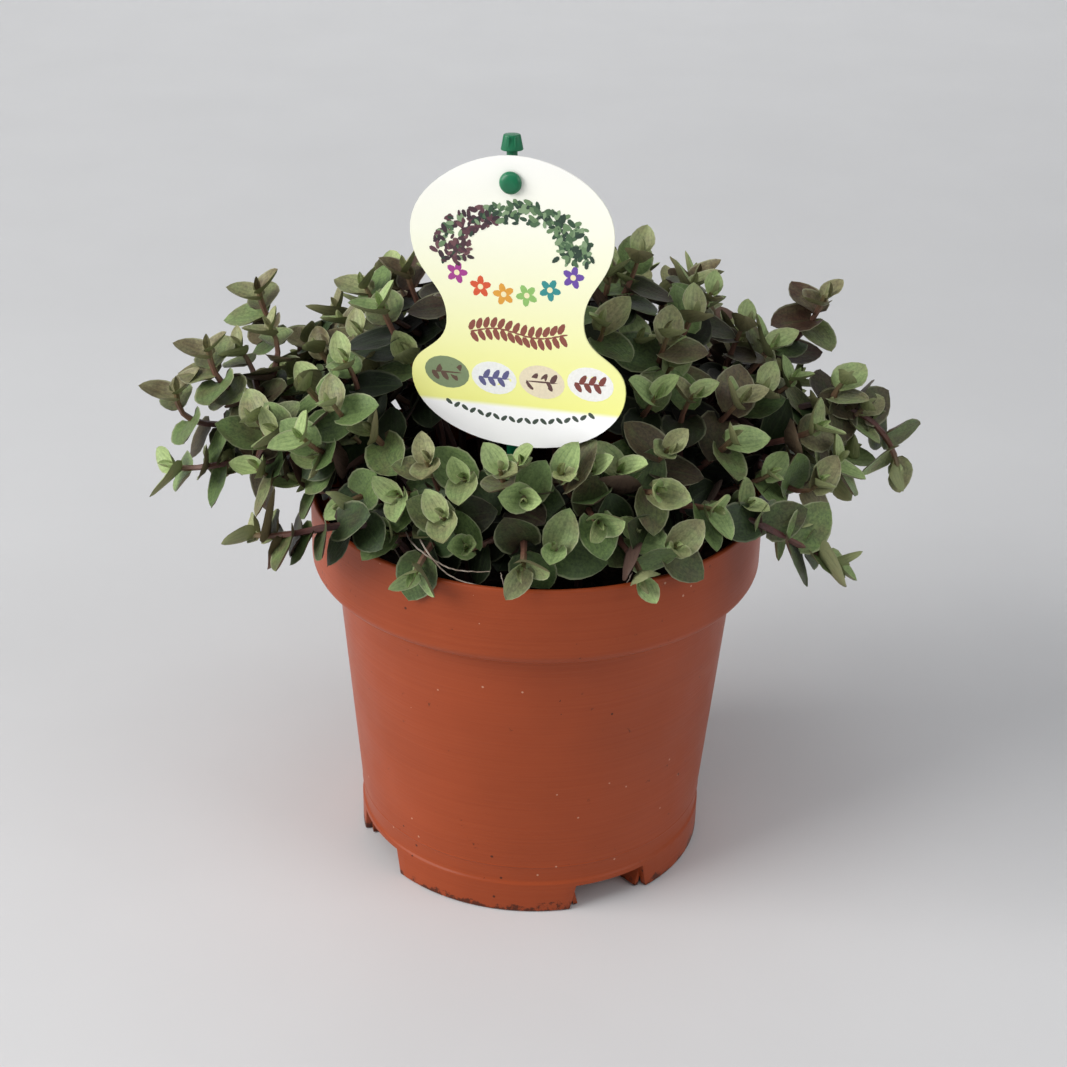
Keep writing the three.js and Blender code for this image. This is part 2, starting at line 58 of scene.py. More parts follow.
# Lengths in the tables below are millimetres in the pot's own frame: its axis is x = y = 0, it stands on
# z = 0 and the label faces -Y. The frame's origin is elsewhere, so TO_FRAME takes finished pieces there.
MM = 0.001
LOW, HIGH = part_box("pot")
AXIS = Vector(((LOW.x + HIGH.x) / 2, (LOW.y + HIGH.y) / 2, 0))
TO_FRAME = Matrix.Translation(AXIS) @ Matrix.Scale(MM, 4)

POT_HEIGHT = 105.5
POT_RIM = 60.0
POT_WALL = 1.3
# The pot's outline from the middle of its underside round to the middle of its inside floor, as radius and
# height, with how much each corner is rounded.
POT_OUTLINE = [
    (0, 8.5, 0),
    (45.6, 8.5, 0.3),
    (45.6, 7.6, 0),
    (47.8, 7.6, 0),
    (47.85, 8.9, 0.35),
    (47.3, 9.5, 0.4),
    (47.62, 14.2, 0.3),
    (47.86, 14.5, 0.3),
    (47.74, 14.9, 0.3),
    (53.55, 82.6, 1.6),
    (58.9, 84.5, 1.1),
    (60.0, 86.2, 1.0),
    (60.0, 105.0, 0.35),
    (59.6, 105.5, 0.35),
    (58.9, 105.5, 0.3),
    (58.7, 105.0, 0.3),
    (58.7, 86.6, 0.8),
    (52.4, 84.0, 0.8),
    (45.9, 9.8, 0.8),
    (0, 9.8, 0),
]
# The foot ring under the pot's floor, and the four notches that cut it into arcs with leaning ends. A notch
# is the mouth of a channel, whose two thin walls run in from the ring.
FOOT = {"inside": 45.6, "outside": 47.8, "height": 7.9, "edge": 0.3}
NOTCH = {"count": 4, "first": 28.3, "half_width": 9.9, "ring": 46.7, "lean": 1.7}
CHANNEL = {"depth": 9, "wall": 1.1, "height": 8.0, "middle": 4.1, "proud": 0.4, "inset": 0.012}
DRAIN = {"count": 6, "ring": 31, "radius": 4, "middle": 9.1, "depth": 6}
SOIL_TOP = 92.5
SOIL_MOUND = 2.5
SOIL_RADIUS = 58.3
SOIL_SIDE = [(0, 10.2), (45.5, 10.2), (52.0, 84.3), (SOIL_RADIUS, 87.4)]
CRUMB = {
    "small": (0.45, 1.0),
    "large": (1.0, 1.8),
    "small_share": 0.75,
    "stretch": ((0.7, 1.7), (0.6, 1), (0.45, 0.9)),
    "tilt": 0.5,
    "rough": 0.16,
    "shades": [0.25, 0.4, 0.5, 0.5, 0.7],
    "pale_share": 0.02,
}

LABEL = {
    "height": 71.5,
    "upper": (25.1, 18.7, 11),
    "waist": (17.4, 39.5, 9),
    "lower": (28, 55.5, 8.5),
    "aside": -0.5,
    "cap": (0.44, 0.62),
    "twist": 12,
    "hole_drop": 6.3,
    "hole_radius": 1.75,
    "front": 0.8,
    "thickness": 0.5,
}
# Lines that cut the card into cells, so that it can twist: direction, the first, the step and the count.
CARD_CUTS = [((0, 0, 1), -62, 3, 22), ((1, 0, 0), -24, 4, 13)]
LABEL_PEG = Vector((-7.6, -29.2, 197.5))
LABEL_TILT = {"lean": 5, "turn": 13, "roll": 4.5}
# The space before the card that leaves keep clear of, and how fast it rises towards the eye.
READING = {"depth": 62, "rise": 0.42}
STAKE_FOOT = Vector((-4.2, -26.2, 24))
STAKE_BEHIND = 3.2
STAKE_ROD = {"over_peg": 5.5, "point": 9, "shoulder": 3.2, "waist": 2.2, "waist_radius": 1.3}
STAKE_NIB = {"low": 1.2, "top": 4.9, "radius": 2.7, "top_radius": 2.0, "flatness": 0.72}
STAKE_RIB = {
    "across": 0.75,
    "out": 1.5,
    "width": 0.42,
    "depth": 0.7,
    "short": 0.5,
    "lean": 0.15,
    "edge": 0.12,
}
# The peg from its end behind the rod to its barbed tip, with corners as in the pot's outline.
PEG_OUTLINE = [
    (0, -3.8, 0),
    (1.25, -3.8, 0),
    (1.25, 1.0, 0.1),
    (2.6, 1.15, 0.2),
    (2.75, 1.5, 0.3),
    (2.25, 2.35, 0.5),
    (1.2, 2.62, 0.3),
    (0, 2.66, 0),
]

# The plant's rule of growth, the same as the one that the solids were grown by.
DOME = {"radius": 83, "height": 67, "centre": 97}
RINGS = [(11, 4, 7, 0), (30, 10, 18, 36), (47, 14, 28, 66), (62, 17, 37.4, 66), (78, 18, 45, 77)]
SPREAD = {"azimuth": 0.18, "polar": 3, "radius": 0.06, "length": 0.12, "rise": 5}
LABEL_AZIMUTH = -88
FRONT_VINES = [
    ((-40, -20), ((-55, -30, 125), (-47, -40, 118))),
    ((-30, -28), ((-41, -33, 134), (-34, -47, 124))),
    ((-17, -36), ((-18, -47, 129), (-29, -57, 108))),
    ((-6, -40), ((-3, -51, 126), (-3, -61, 112))),
    ((11, -36), ((15, -54, 121), (26, -59, 109))),
    ((24, -32), ((29, -48, 127), (43, -45, 121))),
    ((37, -22), ((48, -30, 133), (62, -34, 112))),
    ((-24, -12), ((-33, -15, 147), (-57, -14, 138))),
    ((22, -11), ((33, -17, 147), (56, -12, 139))),
]
RUNNERS = [
    ("left_low", ((-26, -41, 0), (-29, -44, 132), (-52, -54, 113), (-70, -41, 109)), 6),
    ("left_mid", ((-46, -17, 0), (-50, -20, 138), (-80, -16, 112), (-94, -14, 114)), 4),
    ("left_far", ((-48, 4, 0), (-50, 6, 144), (-95, 0, 106), (-94, 0, 131)), 5),
    ("left_rise", ((-44, -6, 0), (-47, -6, 146), (-83, -6, 116), (-85, -4, 143)), 4),
    ("left_high", ((-34, 20, 0), (-40, 18, 140), (-75, 10, 122), (-78, 9, 149)), 4),
    ("right_low", ((40, -26, 0), (44, -32, 134), (58, -37, 112), (78, -31, 104)), 5),
    ("right_far", ((46, 2, 0), (50, -2, 144), (88, -3, 138), (94, -5, 115)), 5),
    ("right_high", ((38, 22, 0), (44, 20, 138), (66, 16, 128), (74, 15, 154)), 5),
    ("back_left", ((-26, 39, 0), (-30, 46, 146), (-52, 84, 122), (-58, 90, 98)), 5),
    ("back_right", ((26, 40, 0), (30, 48, 146), (46, 84, 124), (50, 93, 104)), 5),
]
STEM = {"bury": 12, "rise": 34, "lead": 24, "tilt": 0.55, "steps": 4, "radii": (1.3, 0.65)}
OVER_RIM = {"polar": 58, "height": 119}
FORK = {"from": 0.42, "lead": 20, "steps": 3, "radii": (1.1, 0.65)}
# A stem's sides, how long each of its pieces is at most, and how much it swells where leaves stand.
STEM_SIDES = 6
STEM_PIECE = 3.2
STEM_SWELL = 1.16
SOLID_LEAF = {"length": 17, "half_width": 0.42, "cup": 0.12, "droop": 0.1, "widest": 0.3, "lowest": 0.02}
SMALLER = 0.78
NODES_DOWN = [0.6, 2.4, 5.2, 9.4, 14.6, 20.6, 27.2, 34]
LEAF_SCALE = [0.66, 0.84, 1, 1.04, 1, 0.95, 0.92, 0.9]
LEAF_RISE = [48, 38, 22, 14, 10, 8, 4, 2]
LEAF_AGES = [0.06, 0.2, 0.44, 0.64, 0.8, 0.9, 0.95, 1.0]
SHOOT_LEAVES = 4
FRONT_LEAVES = 5
TURN = {"leaf": 174, "pair": 96, "wobble": 8}
# Where each kind of shoot starts to count, so that each draws chances of its own.
FIRST_INDEX = {"front": 100, "runner": 200, "twig": 1000, "added_twig": 5000}
# The turns round the pot, and the rises and turns of a leaf, that are tried where something is in the way.
NUDGES = [0, 2.5, -2.5, 5, -5, 7.5, -7.5, 10, -10]
BENDS = [
    (0, 0), (14, 0), (-12, 0), (0, 22), (0, -22), (24, 18), (24, -18), (-22, 12), (34, 0), (6, 40), (6, -40),
    (16, 62), (16, -62), (44, 30), (44, -30),
]

# What the living plant has beyond its solids: true leaf size, small side twigs and rolled young leaves.
TWIG = {
    "near": 9.5,
    "crowded": 6,
    "ring": (10.5, 14.5),
    "sunk": 4,
    "most": 2,
    "most_in_front": 1,
    "back": 26,
    "lowest": 0.3,
    "behind": 14,
    "start": 9,
    "lead": 12,
    "tries": 16,
    "clear": 4,
    "leaves": [0, 1, 2, 3, 4, 5],
    "radii": (0.95, 0.55),
}
# Each rolled young leaf: how far below the tip it stands, its size and its rise.
YOUNG = [(0.15, 0.36, 84)]
# The side of the cells that grown leaves are kept in, so that the near ones are found at once.
CELL = 12.0
TO_LIGHT = Vector((-0.28, -0.42, 0.86))
# How far a leaf's face is brought to the light: where the solids have the leaf, and where they don't.
PULL = {"dome": (0, 0.25), "runner": (0.7, 1.3)}
# The greatest miss, in all, with which a leaf or a vine still counts as the one in the solids.
MATCH = {"leaf": 4, "vine": 2.5}
# How near a leaf may come to the card, the stake, the pot and the soil.
CLEAR = {
    "behind_card": 4,
    "before_card": 0.6,
    "card_edge": 1.5,
    "stake": 2.9,
    "stake_share": 1.06,
    "rim": 0.9,
    "rim_top": 0.8,
    "soil": 0.8,
}
# Rosettes that the rule leaves out, as their tips: under the label, at its sides and beside the runners.
MORE_TIPS = [
    (-27, -44, 132), (-9, -50, 133), (-4.6, -44, 132), (6, -47, 131), (13, -45, 131), (20, -43, 130),
    (51, 7, 142), (25, -14, 152), (22, -2, 163), (40, 20, 156), (-46, 12, 155), (-71, -22, 132),
    (24, -6, 172),
    (43, 0, 160), (52, 0, 152), (78, -4, 138), (84, -4, 131), (73, -4, 131), (81, -5, 118),
    (69, -10, 121), (-78, 2, 141), (-70, 4, 146),
]


def linear(code):
    """An sRGB colour such as "#a5492c" in linear light."""
    values = [int(code[i : i + 2], 16) / 255 for i in (1, 3, 5)]
    return tuple(v / 12.92 if v <= 0.04045 else ((v + 0.055) / 1.055) ** 2.4 for v in values)


def rgba(colour):
    """A hex code, a grey or a linear colour, with its alpha."""
    if isinstance(colour, str):
        return (*linear(colour), 1.0)
    if isinstance(colour, (int, float)):
        return (colour, colour, colour, 1.0)
    return (*colour, 1.0)


def dimmed(colour, factor):
    """A linear colour made darker, or lighter by a factor over 1."""
    return tuple(value * factor for value in colour)


def chance(index, channel):
    """A repeatable number from 0 to 1."""
    wave = math.sin(index * 12.9898 + channel * 78.233 + 4.1) * 43758.5453
    return wave - math.floor(wave)


def swing(index, channel):
    """The same number from -1 to 1."""
    return 2 * chance(index, channel) - 1


# Materials


def find_socket(sockets, key=None):
    """A node's socket by number or name. Of several with the name, the one in use counts."""
    if isinstance(key, int):
        return sockets[key]
    return next(socket for socket in sockets if socket.enabled and key in (None, socket.name))


def add_node(tree, kind, inputs, stops=(), **settings):
    """Adds a node with its settings. inputs holds values, hex colours, nodes or (node, output) pairs by their
    socket, and stops holds a ramp's positions and colours."""
    made = tree.nodes.new("ShaderNode" + kind)
    for key, value in settings.items():
        setattr(made, key, value)
    for key, value in inputs.items():
        socket = find_socket(made.inputs, key)
        source = value if isinstance(value, tuple) else (value, None)
        if isinstance(source[0], bpy.types.Node):
            tree.links.new(find_socket(source[0].outputs, source[1]), socket)
        else:
            socket.default_value = rgba(value) if isinstance(value, str) else value
    elements = made.color_ramp.elements if stops else []
    while len(elements) < len(stops):
        elements.new(0.5)
    for element, (position, colour) in zip(elements, stops):
        element.position = position
        element.color = rgba(colour)
    return made


def new_material(name):
    """An empty material, the function that adds its nodes, and its object coordinates, in metres."""
    material = bpy.data.materials.new(name)
    material.use_nodes = True
    material.node_tree.nodes.clear()
    add = partial(add_node, material.node_tree)
    return material, add, (add("TexCoord", {}), "Object")


def finish_material(material, add, surface):
    """Ends a material with its shader, which surface holds the sockets of."""
    add("OutputMaterial", {"Surface": add("BsdfPrincipled", surface)})
    return material


def pot_plastic():
    """Terracotta-coloured polypropylene, injection moulded: satin, with fine turning marks from its mould."""
    body = tuple(bpy.context.scene.turtle_vine_pot.colour)
    material, add, at = new_material("moulded_terracotta_polypropylene")
    at = add("Mapping", {"Vector": at, "Location": (-AXIS.x, -AXIS.y, 0)})
    # The pigment varies in blotches some 35 mm across, and the mould's turning marks are about 0.6 mm apart.
    blotch = add("TexNoise", {"Vector": at, "Scale": 28, "Detail": 4})
    stops = [(0.3, dimmed(body, 0.9)), (0.55, body), (0.8, dimmed(body, 1.1))]
    blotch = add("ValToRGB", {"Fac": blotch}, stops)
    thin = add("Mapping", {"Vector": at, "Scale": (20, 20, 1600)})
    rings = add("TexNoise", {"Vector": thin, "Scale": 1, "Detail": 3, "Roughness": 0.6})
    marks = add("ValToRGB", {"Fac": rings}, [(0.35, "#7a2c18"), (0.7, "#c4683f")])
    colour = add("Mix", {"Factor": 0.07, "A": blotch, "B": marks}, data_type="RGBA")
    # Pale specks of dust and lime, about 0.6 mm across, lie on a few of the cells of a 5 mm pattern.
    cells = add("TexVoronoi", {"Vector": at, "Scale": 190, "Randomness": 1})
    small = add("Math", {0: cells, 1: 0.06}, operation="LESS_THAN")
    patches = add("TexNoise", {"Vector": at, "Scale": 50, "Detail": 1})
    few = add("Math", {0: patches, 1: 0.54}, operation="GREATER_THAN")
    speck = add("Math", {0: small, 1: few}, operation="MULTIPLY")
    speck = add("Math", {0: speck, 1: 0.5}, operation="MULTIPLY")
    colour = add("Mix", {"Factor": speck, "A": colour, "B": "#dfb79c"}, data_type="RGBA")
    # Soil clings in crumbs to the foot's lowest 4 mm, and its specks thin out up to 24 mm.
    height = (add("SeparateXYZ", {0: at}), "Z")
    edge = add("MapRange", {"Value": height, "From Max": 0.0042, "To Min": 0.15, "To Max": -0.08})
    clumps = add("TexNoise", {"Vector": at, "Scale": 210, "Detail": 6, "Roughness": 0.75})
    clumps = add("Math", {0: clumps, 1: edge}, operation="ADD")
    grime = add("ValToRGB", {"Fac": clumps}, [(0.57, 0), (0.63, 1)])
    low = add("MapRange", {"Value": height, "From Max": 0.024, "To Min": 0.1, "To Max": -0.1})
    crumbs = add("TexVoronoi", {"Vector": at, "Scale": 330, "Randomness": 1})
    dots = add("Math", {0: crumbs, 1: 0.13}, operation="LESS_THAN")
    near = add("TexNoise", {"Vector": at, "Scale": 90, "Detail": 2})
    near = add("Math", {0: near, 1: low}, operation="ADD")
    near = add("Math", {0: near, 1: 0.57}, operation="GREATER_THAN")
    dots = add("Math", {0: dots, 1: near}, operation="MULTIPLY")
    dirt = add("Math", {0: grime, 1: dots}, operation="MAXIMUM")
    dirt = add("Math", {0: dirt, 1: 0.8}, operation="MULTIPLY")
    colour = add("Mix", {"Factor": dirt, "A": colour, "B": "#33190f"}, data_type="RGBA")
    wear = add("TexNoise", {"Vector": at, "Scale": 75, "Detail": 4})
    fine = add("Bump", {"Height": rings, "Distance": 0.00006, "Strength": 1})
    waves = add("TexNoise", {"Vector": at, "Scale": 45, "Detail": 2})
    surface = {
        "Base Color": colour,
        "Roughness": add("ValToRGB", {"Fac": wear}, [(0.3, 0.36), (0.7, 0.46)]),
        "Normal": add("Bump", {"Height": waves, "Distance": 0.0004, "Strength": 0.5, "Normal": fine}),
        "IOR": 1.49,
        "Specular IOR Level": 0.26,
    }
    return finish_material(material, add, surface)


def peat():
    """Peat-based potting soil, milled and moist: nearly black, dull and crumbly, with grains of 1 to 3 mm."""
    material, add, at = new_material("moist_peat")
    grain = add("TexNoise", {"Vector": at, "Scale": 420, "Detail": 6, "Roughness": 0.7})
    stops = [(0.3, "#0f0a07"), (0.52, "#20150f"), (0.68, "#3a281b"), (0.85, "#5a432f")]
    colour = add("ValToRGB", {"Fac": grain}, stops)
    tint = add("Attribute", {}, attribute_name="tint")
    mixed = {"Factor": 0.55, "A": colour, "B": tint}
    surface = {
        "Base Color": add("Mix", mixed, data_type="RGBA", blend_type="SOFT_LIGHT"),
        "Normal": add("Bump", {"Height": grain, "Distance": 0.0008, "Strength": 1}),
        "Roughness": 0.92,
        "Specular IOR Level": 0.25,
    }
    return finish_material(material, add, surface)


def printed_card():
    """Polypropylene card, offset printed: white at the top, turning to yellow, with a plain white foot."""
    material, add, at = new_material("printed_polypropylene_card")
    height = (add("SeparateXYZ", {0: add("UVMap", {}, uv_map="card")}), "Y")
    stops = [(0, "#fdfeff"), (0.135, "#fdfeff"), (0.15, "#f1f290"), (0.3, "#f1f2a4"), (0.52, "#f4f5cb")]
    stops += [(0.75, "#fafbea"), (1.0, "#fdfdfa")]
    # The card's grain, about 1 mm, shows only as a faint unevenness in its sheen.
    grain = add("TexNoise", {"Vector": at, "Scale": 900, "Detail": 2})
    surface = {
        "Base Color": add("ValToRGB", {"Fac": height}, stops),
        "Normal": add("Bump", {"Height": grain, "Distance": 0.00002, "Strength": 1}),
        "Roughness": 0.34,
        "IOR": 1.49,
    }
    return finish_material(material, add, surface)


def printing_ink():
    """Offset ink on the card: flat colours, a little duller than the card, with a mottle under 1 mm."""
    material, add, at = new_material("offset_ink")
    ink = add("Attribute", {}, attribute_name="ink")
    mottle = add("TexNoise", {"Vector": at, "Scale": 1500, "Detail": 2})
    shade = add("ValToRGB", {"Fac": mottle}, [(0.35, 0.93), (0.65, 1)])
    mixed = {"Factor": 1, "A": ink, "B": shade}
    colour = add("Mix", mixed, data_type="RGBA", blend_type="MULTIPLY")
    return finish_material(material, add, {"Base Color": colour, "Roughness": 0.42})


def stake_plastic():
    """Green polypropylene, injection moulded: smooth, a little translucent and glossy on its edges."""
    body = tuple(bpy.context.scene.turtle_vine_stake.colour)
    material, add, at = new_material("moulded_green_polypropylene")
    # The melt's flow shows along the rod, in streaks about 1 mm wide and 16 mm long.
    cloud = add("TexNoise", {"Vector": at, "Scale": 200, "Detail": 3})
    streaks = add("Mapping", {"Vector": at, "Scale": (900, 900, 60)})
    flow = add("TexNoise", {"Vector": streaks, "Scale": 1, "Detail": 2})
    surface = {
        "Base Color": add("ValToRGB", {"Fac": cloud}, [(0.3, dimmed(body, 0.75)), (0.7, dimmed(body, 1.27))]),
        "Normal": add("Bump", {"Height": flow, "Distance": 0.00005, "Strength": 1}),
        "Roughness": 0.33,
        "IOR": 1.49,
        "Subsurface Weight": 0.06,
        "Subsurface Radius": (0.0006, 0.0016, 0.001),
    }
    return finish_material(material, add, surface)


def leaf_parts(add):
    """A leaf's own attribute: how far across and along the blade, its age with painted shade added, and its
    tint, each 0 to 1.
    """
    blade = add("Attribute", {}, attribute_name="blade")
    split = add("SeparateColor", {0: (blade, "Color")})
    return (split, "Red"), (split, "Green"), (split, "Blue"), (blade, "Alpha")


def leaf_veins(add, across, along, edge):
    """Veins that run from the base to the tip, about 1.5 mm apart at the widest, and fade at both ends."""
    ends = add("Math", {0: along, 1: 3.1}, operation="MULTIPLY")
    ends = add("Math", {0: ends}, operation="SINE")
    wave = add("Math", {0: across, 1: 22}, operation="MULTIPLY")
    wave = add("Math", {0: wave}, operation="SINE")
    wave = add("Math", {0: wave, 1: ends}, operation="MULTIPLY")
    return add("ValToRGB", {"Fac": wave}, [(edge, 0), (0.95, 1)])


def leaf_upper():
    """The upper skin of a fleshy leaf: waxy, with veins along the blade and a thin pale margin."""
    material, add, at = new_material("leaf_upper_skin")
    across, along, age_and_shade, tint = leaf_parts(add)
    # Each tone has five ages, from a leaf that unrolls to one that is old, and its dark far end is painted
    # shade for leaves deep in the foliage.
    fresh = [(0, "#bccb9c"), (0.25, "#a2b588"), (0.5, "#718659"), (0.75, "#43543a"), (1, "#202a1a")]
    dusky = [(0, "#b0ab8e"), (0.25, "#938b74"), (0.5, "#67594b"), (0.8, "#39312a"), (1, "#1f1a17")]
    purple = [(0, "#7c6b58"), (0.3, "#644a42"), (0.6, "#4a302f"), (1, "#251819")]
    # Dusk gathers in patches some 5 mm wide, so one leaf has both tones.
    patches = add("TexNoise", {"Vector": at, "Scale": 190, "Detail": 2})
    patches = add("MapRange", {"Value": patches, "To Min": -0.34, "To Max": 0.34})
    tint = add("Math", {0: tint, 1: patches}, operation="ADD", use_clamp=True)
    colour = add("ValToRGB", {"Fac": age_and_shade}, fresh)
    for tone, share in ((dusky, [(0.2, 0), (0.6, 1)]), (purple, [(0.66, 0), (0.9, 1)])):
        other = add("ValToRGB", {"Fac": age_and_shade}, tone)
        share = add("ValToRGB", {"Fac": tint}, share)
        colour = add("Mix", {"Factor": share, "A": colour, "B": other}, data_type="RGBA")
    vein = leaf_veins(add, across, along, 0.45)
    faint = add("Math", {0: vein, 1: 0.18}, operation="MULTIPLY")
    colour = add("Mix", {"Factor": faint, "A": colour, "B": "#3f5238"}, data_type="RGBA")
    # Patches of cells, under 1 mm, show as a fine paler and darker mottle over a broader one of 4 mm.
    cells = add("TexNoise", {"Vector": at, "Scale": 1400, "Detail": 3, "Roughness": 0.6})
    broad = add("TexNoise", {"Vector": at, "Scale": 260, "Detail": 3})
    fine = add("ValToRGB", {"Fac": cells}, [(0.35, "#3f5036"), (0.62, "#b3bd92")])
    coarse = add("ValToRGB", {"Fac": broad}, [(0.35, "#3d4a3a"), (0.65, "#9fa984")])
    for factor, mottle in ((0.55, fine), (0.22, coarse)):
        mixed = {"Factor": factor, "A": colour, "B": mottle}
        colour = add("Mix", mixed, data_type="RGBA", blend_type="SOFT_LIGHT")
    midrib = add("ValToRGB", {"Fac": across}, [(0, 1), (0.07, 0)])
    midrib = add("Math", {0: midrib, 1: 0.28}, operation="MULTIPLY")
    colour = add("Mix", {"Factor": midrib, "A": colour, "B": "#4b5b38"}, data_type="RGBA")
    # The margin is a thin pale line, which fades as the leaf ages and where painted shade darkens the leaf.
    margin = add("ValToRGB", {"Fac": across}, [(0.88, 0), (0.96, 1)])
    fading = add("ValToRGB", {"Fac": age_and_shade}, [(0, 0.6), (1, 0.12)])
    margin = add("Math", {0: margin, 1: fading}, operation="MULTIPLY")
    ridges = add("Bump", {"Height": vein, "Distance": 0.00006, "Strength": 0.5})
    surface = {
        "Base Color": add("Mix", {"Factor": margin, "A": colour, "B": "#bcbe9c"}, data_type="RGBA"),
        "Roughness": add("ValToRGB", {"Fac": broad}, [(0.3, 0.44), (0.7, 0.58)]),
        "Normal": add("Bump", {"Height": cells, "Distance": 0.00012, "Strength": 0.7, "Normal": ridges}),
        "IOR": 1.42,
        "Specular IOR Level": 0.42,
    }
    return finish_material(material, add, surface)


def leaf_under():
    """The lower skin of a leaf, duller than the upper: purple-brown where grown, greener where young."""
    material, add, at = new_material("leaf_lower_skin")
    across, along, age_and_shade, tint = leaf_parts(add)
    # Each ramp runs dark at its far end, which is painted shade as well as age.
    olive = [(0, "#9aa576"), (0.3, "#848a66"), (0.6, "#64584a"), (1, "#473b37")]
    purple = [(0, "#8d9569"), (0.3, "#74594a"), (0.6, "#5a3035"), (1, "#40242a")]
    olive, purple = (add("ValToRGB", {"Fac": age_and_shade}, tone) for tone in (olive, purple))
    colour = add("Mix", {"Factor": tint, "A": olive, "B": purple}, data_type="RGBA")
    cells = add("TexNoise", {"Vector": at, "Scale": 1100, "Detail": 3, "Roughness": 0.6})
    mottle = add("ValToRGB", {"Fac": cells}, [(0.35, "#33201f"), (0.65, "#94746a")])
    mixed = {"Factor": 0.3, "A": colour, "B": mottle}
    colour = add("Mix", mixed, data_type="RGBA", blend_type="SOFT_LIGHT")
    vein = leaf_veins(add, across, along, 0.5)
    faint = add("Math", {0: vein, 1: 0.18}, operation="MULTIPLY")
    surface = {
        "Base Color": add("Mix", {"Factor": faint, "A": colour, "B": "#2c1a1c"}, data_type="RGBA"),
        "Normal": add("Bump", {"Height": vein, "Distance": 0.0001, "Strength": 0.5}),
        "Roughness": 0.55,
        "Specular IOR Level": 0.35,
    }
    return finish_material(material, add, surface)


def stem_skin():
    """The skin of a creeping stem: purple-brown where it is old, green towards its tip, faintly streaked."""
    material, add, at = new_material("stem_skin")
    # On a stem this channel holds its age alone, with no painted shade.
    age_and_shade = leaf_parts(add)[2]
    tones = [(0, "#7d8256"), (0.25, "#7a5a4a"), (0.6, "#64403d"), (1, "#4d3431")]
    # The streaks are about 1 mm wide and 4 mm long.
    streaks = add("Mapping", {"Vector": at, "Scale": (1, 1, 0.25)})
    streaks = add("TexNoise", {"Vector": streaks, "Scale": 900, "Detail": 3})
    dark = add("ValToRGB", {"Fac": streaks}, [(0.35, "#3a2624"), (0.7, "#a98a78")])
    mixed = {"Factor": 0.35, "A": add("ValToRGB", {"Fac": age_and_shade}, tones), "B": dark}
    surface = {
        "Base Color": add("Mix", mixed, data_type="RGBA", blend_type="SOFT_LIGHT"),
        "Normal": add("Bump", {"Height": streaks, "Distance": 0.00012, "Strength": 1}),
        "Roughness": 0.48,
    }
    return finish_material(material, add, surface)


def rootlet_skin():
    """Dry thread-like roots: off-white and dull, browner in patches of a few millimetres."""
    material, add, at = new_material("dry_rootlet")
    patches = add("TexNoise", {"Vector": at, "Scale": 300, "Detail": 2})
    colour = add("ValToRGB", {"Fac": patches}, [(0.35, "#8f7f70"), (0.7, "#c9beb2")])
    return finish_material(material, add, {"Base Color": colour, "Roughness": 0.7})


def sweep_paper():
    """Matt studio paper: pale grey, nearly even, with no gloss."""
    material, add, at = new_material("matt_grey_paper")
    cloud = add("TexNoise", {"Vector": at, "Scale": 12, "Detail": 3})
    colour = add("ValToRGB", {"Fac": cloud}, [(0.3, "#d7d8da"), (0.7, "#dadbdd")])
    return finish_material(material, add, {"Base Color": colour, "Roughness": 0.8, "Specular IOR Level": 0.2})


# Pieces


def smooth_by_angle(mesh, angle):
    """Shades a mesh smooth, apart from its edges sharper than an angle in degrees."""
    mesh.polygons.foreach_set("use_smooth", [True] * len(mesh.polygons))
    mesh.set_sharp_from_angle(angle=math.radians(angle))


def finish_piece(name, bm, materials, replaces=(), smooth_angle=None):
    """Makes the finished mesh an object in the frame, on the part's one body."""
    bmesh.ops.transform(bm, matrix=TO_FRAME, verts=bm.verts)
    mesh = bpy.data.meshes.new(name)
    bm.to_mesh(mesh)
    bm.free()
    for material in materials:
        mesh.materials.append(material)
    if smooth_angle is not None:
        smooth_by_angle(mesh, smooth_angle)
    piece = bpy.data.objects.new(name, mesh)
    bpy.context.scene.collection.objects.link(piece)
    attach(piece, "root")
    if replaces:
        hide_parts(*replaces)
    return piece


def rounded(outline):
    """An outline of (radius, height, rounding) corners as points, each rounded corner as a short arc."""
    points = []
    for i, (r, z, rounding) in enumerate(outline):
        here = Vector((r, z))
        if not rounding or i in (0, len(outline) - 1):
            points.append(here)
            continue
        before = Vector(outline[i - 1][:2]) - here
        after = Vector(outline[i + 1][:2]) - here
        cut = min(rounding, before.length * 0.45, after.length * 0.45)
        start, end = here + before.normalized() * cut, here + after.normalized() * cut
        for share in (0, 0.33, 0.67, 1):
            points.append(start.lerp(here, share).lerp(here.lerp(end, share), share))
    return points


def spun(outline, steps, angle=2 * math.pi, start=0.0):
    """A bmesh of (radius, height) points turned about the Z axis."""
    bm = bmesh.new()
    turn = Matrix.Rotation(start, 4, "Z")
    verts = [bm.verts.new(turn @ Vector((p[0], 0, p[1]))) for p in outline]
    edges = [bm.edges.new(pair) for pair in zip(verts, verts[1:])]
    full = angle > 6.28
    bmesh.ops.spin(
        bm, geom=verts + edges, cent=(0, 0, 0), axis=(0, 0, 1), angle=angle, steps=steps, use_merge=full
    )
    bmesh.ops.remove_doubles(bm, verts=bm.verts, dist=1e-4)
    return bm


def joined(bm, other):
    """Adds another bmesh to bm."""
    mesh = bpy.data.meshes.new("joined")
    other.to_mesh(mesh)
    other.free()
    bm.from_mesh(mesh)
    bpy.data.meshes.remove(mesh)


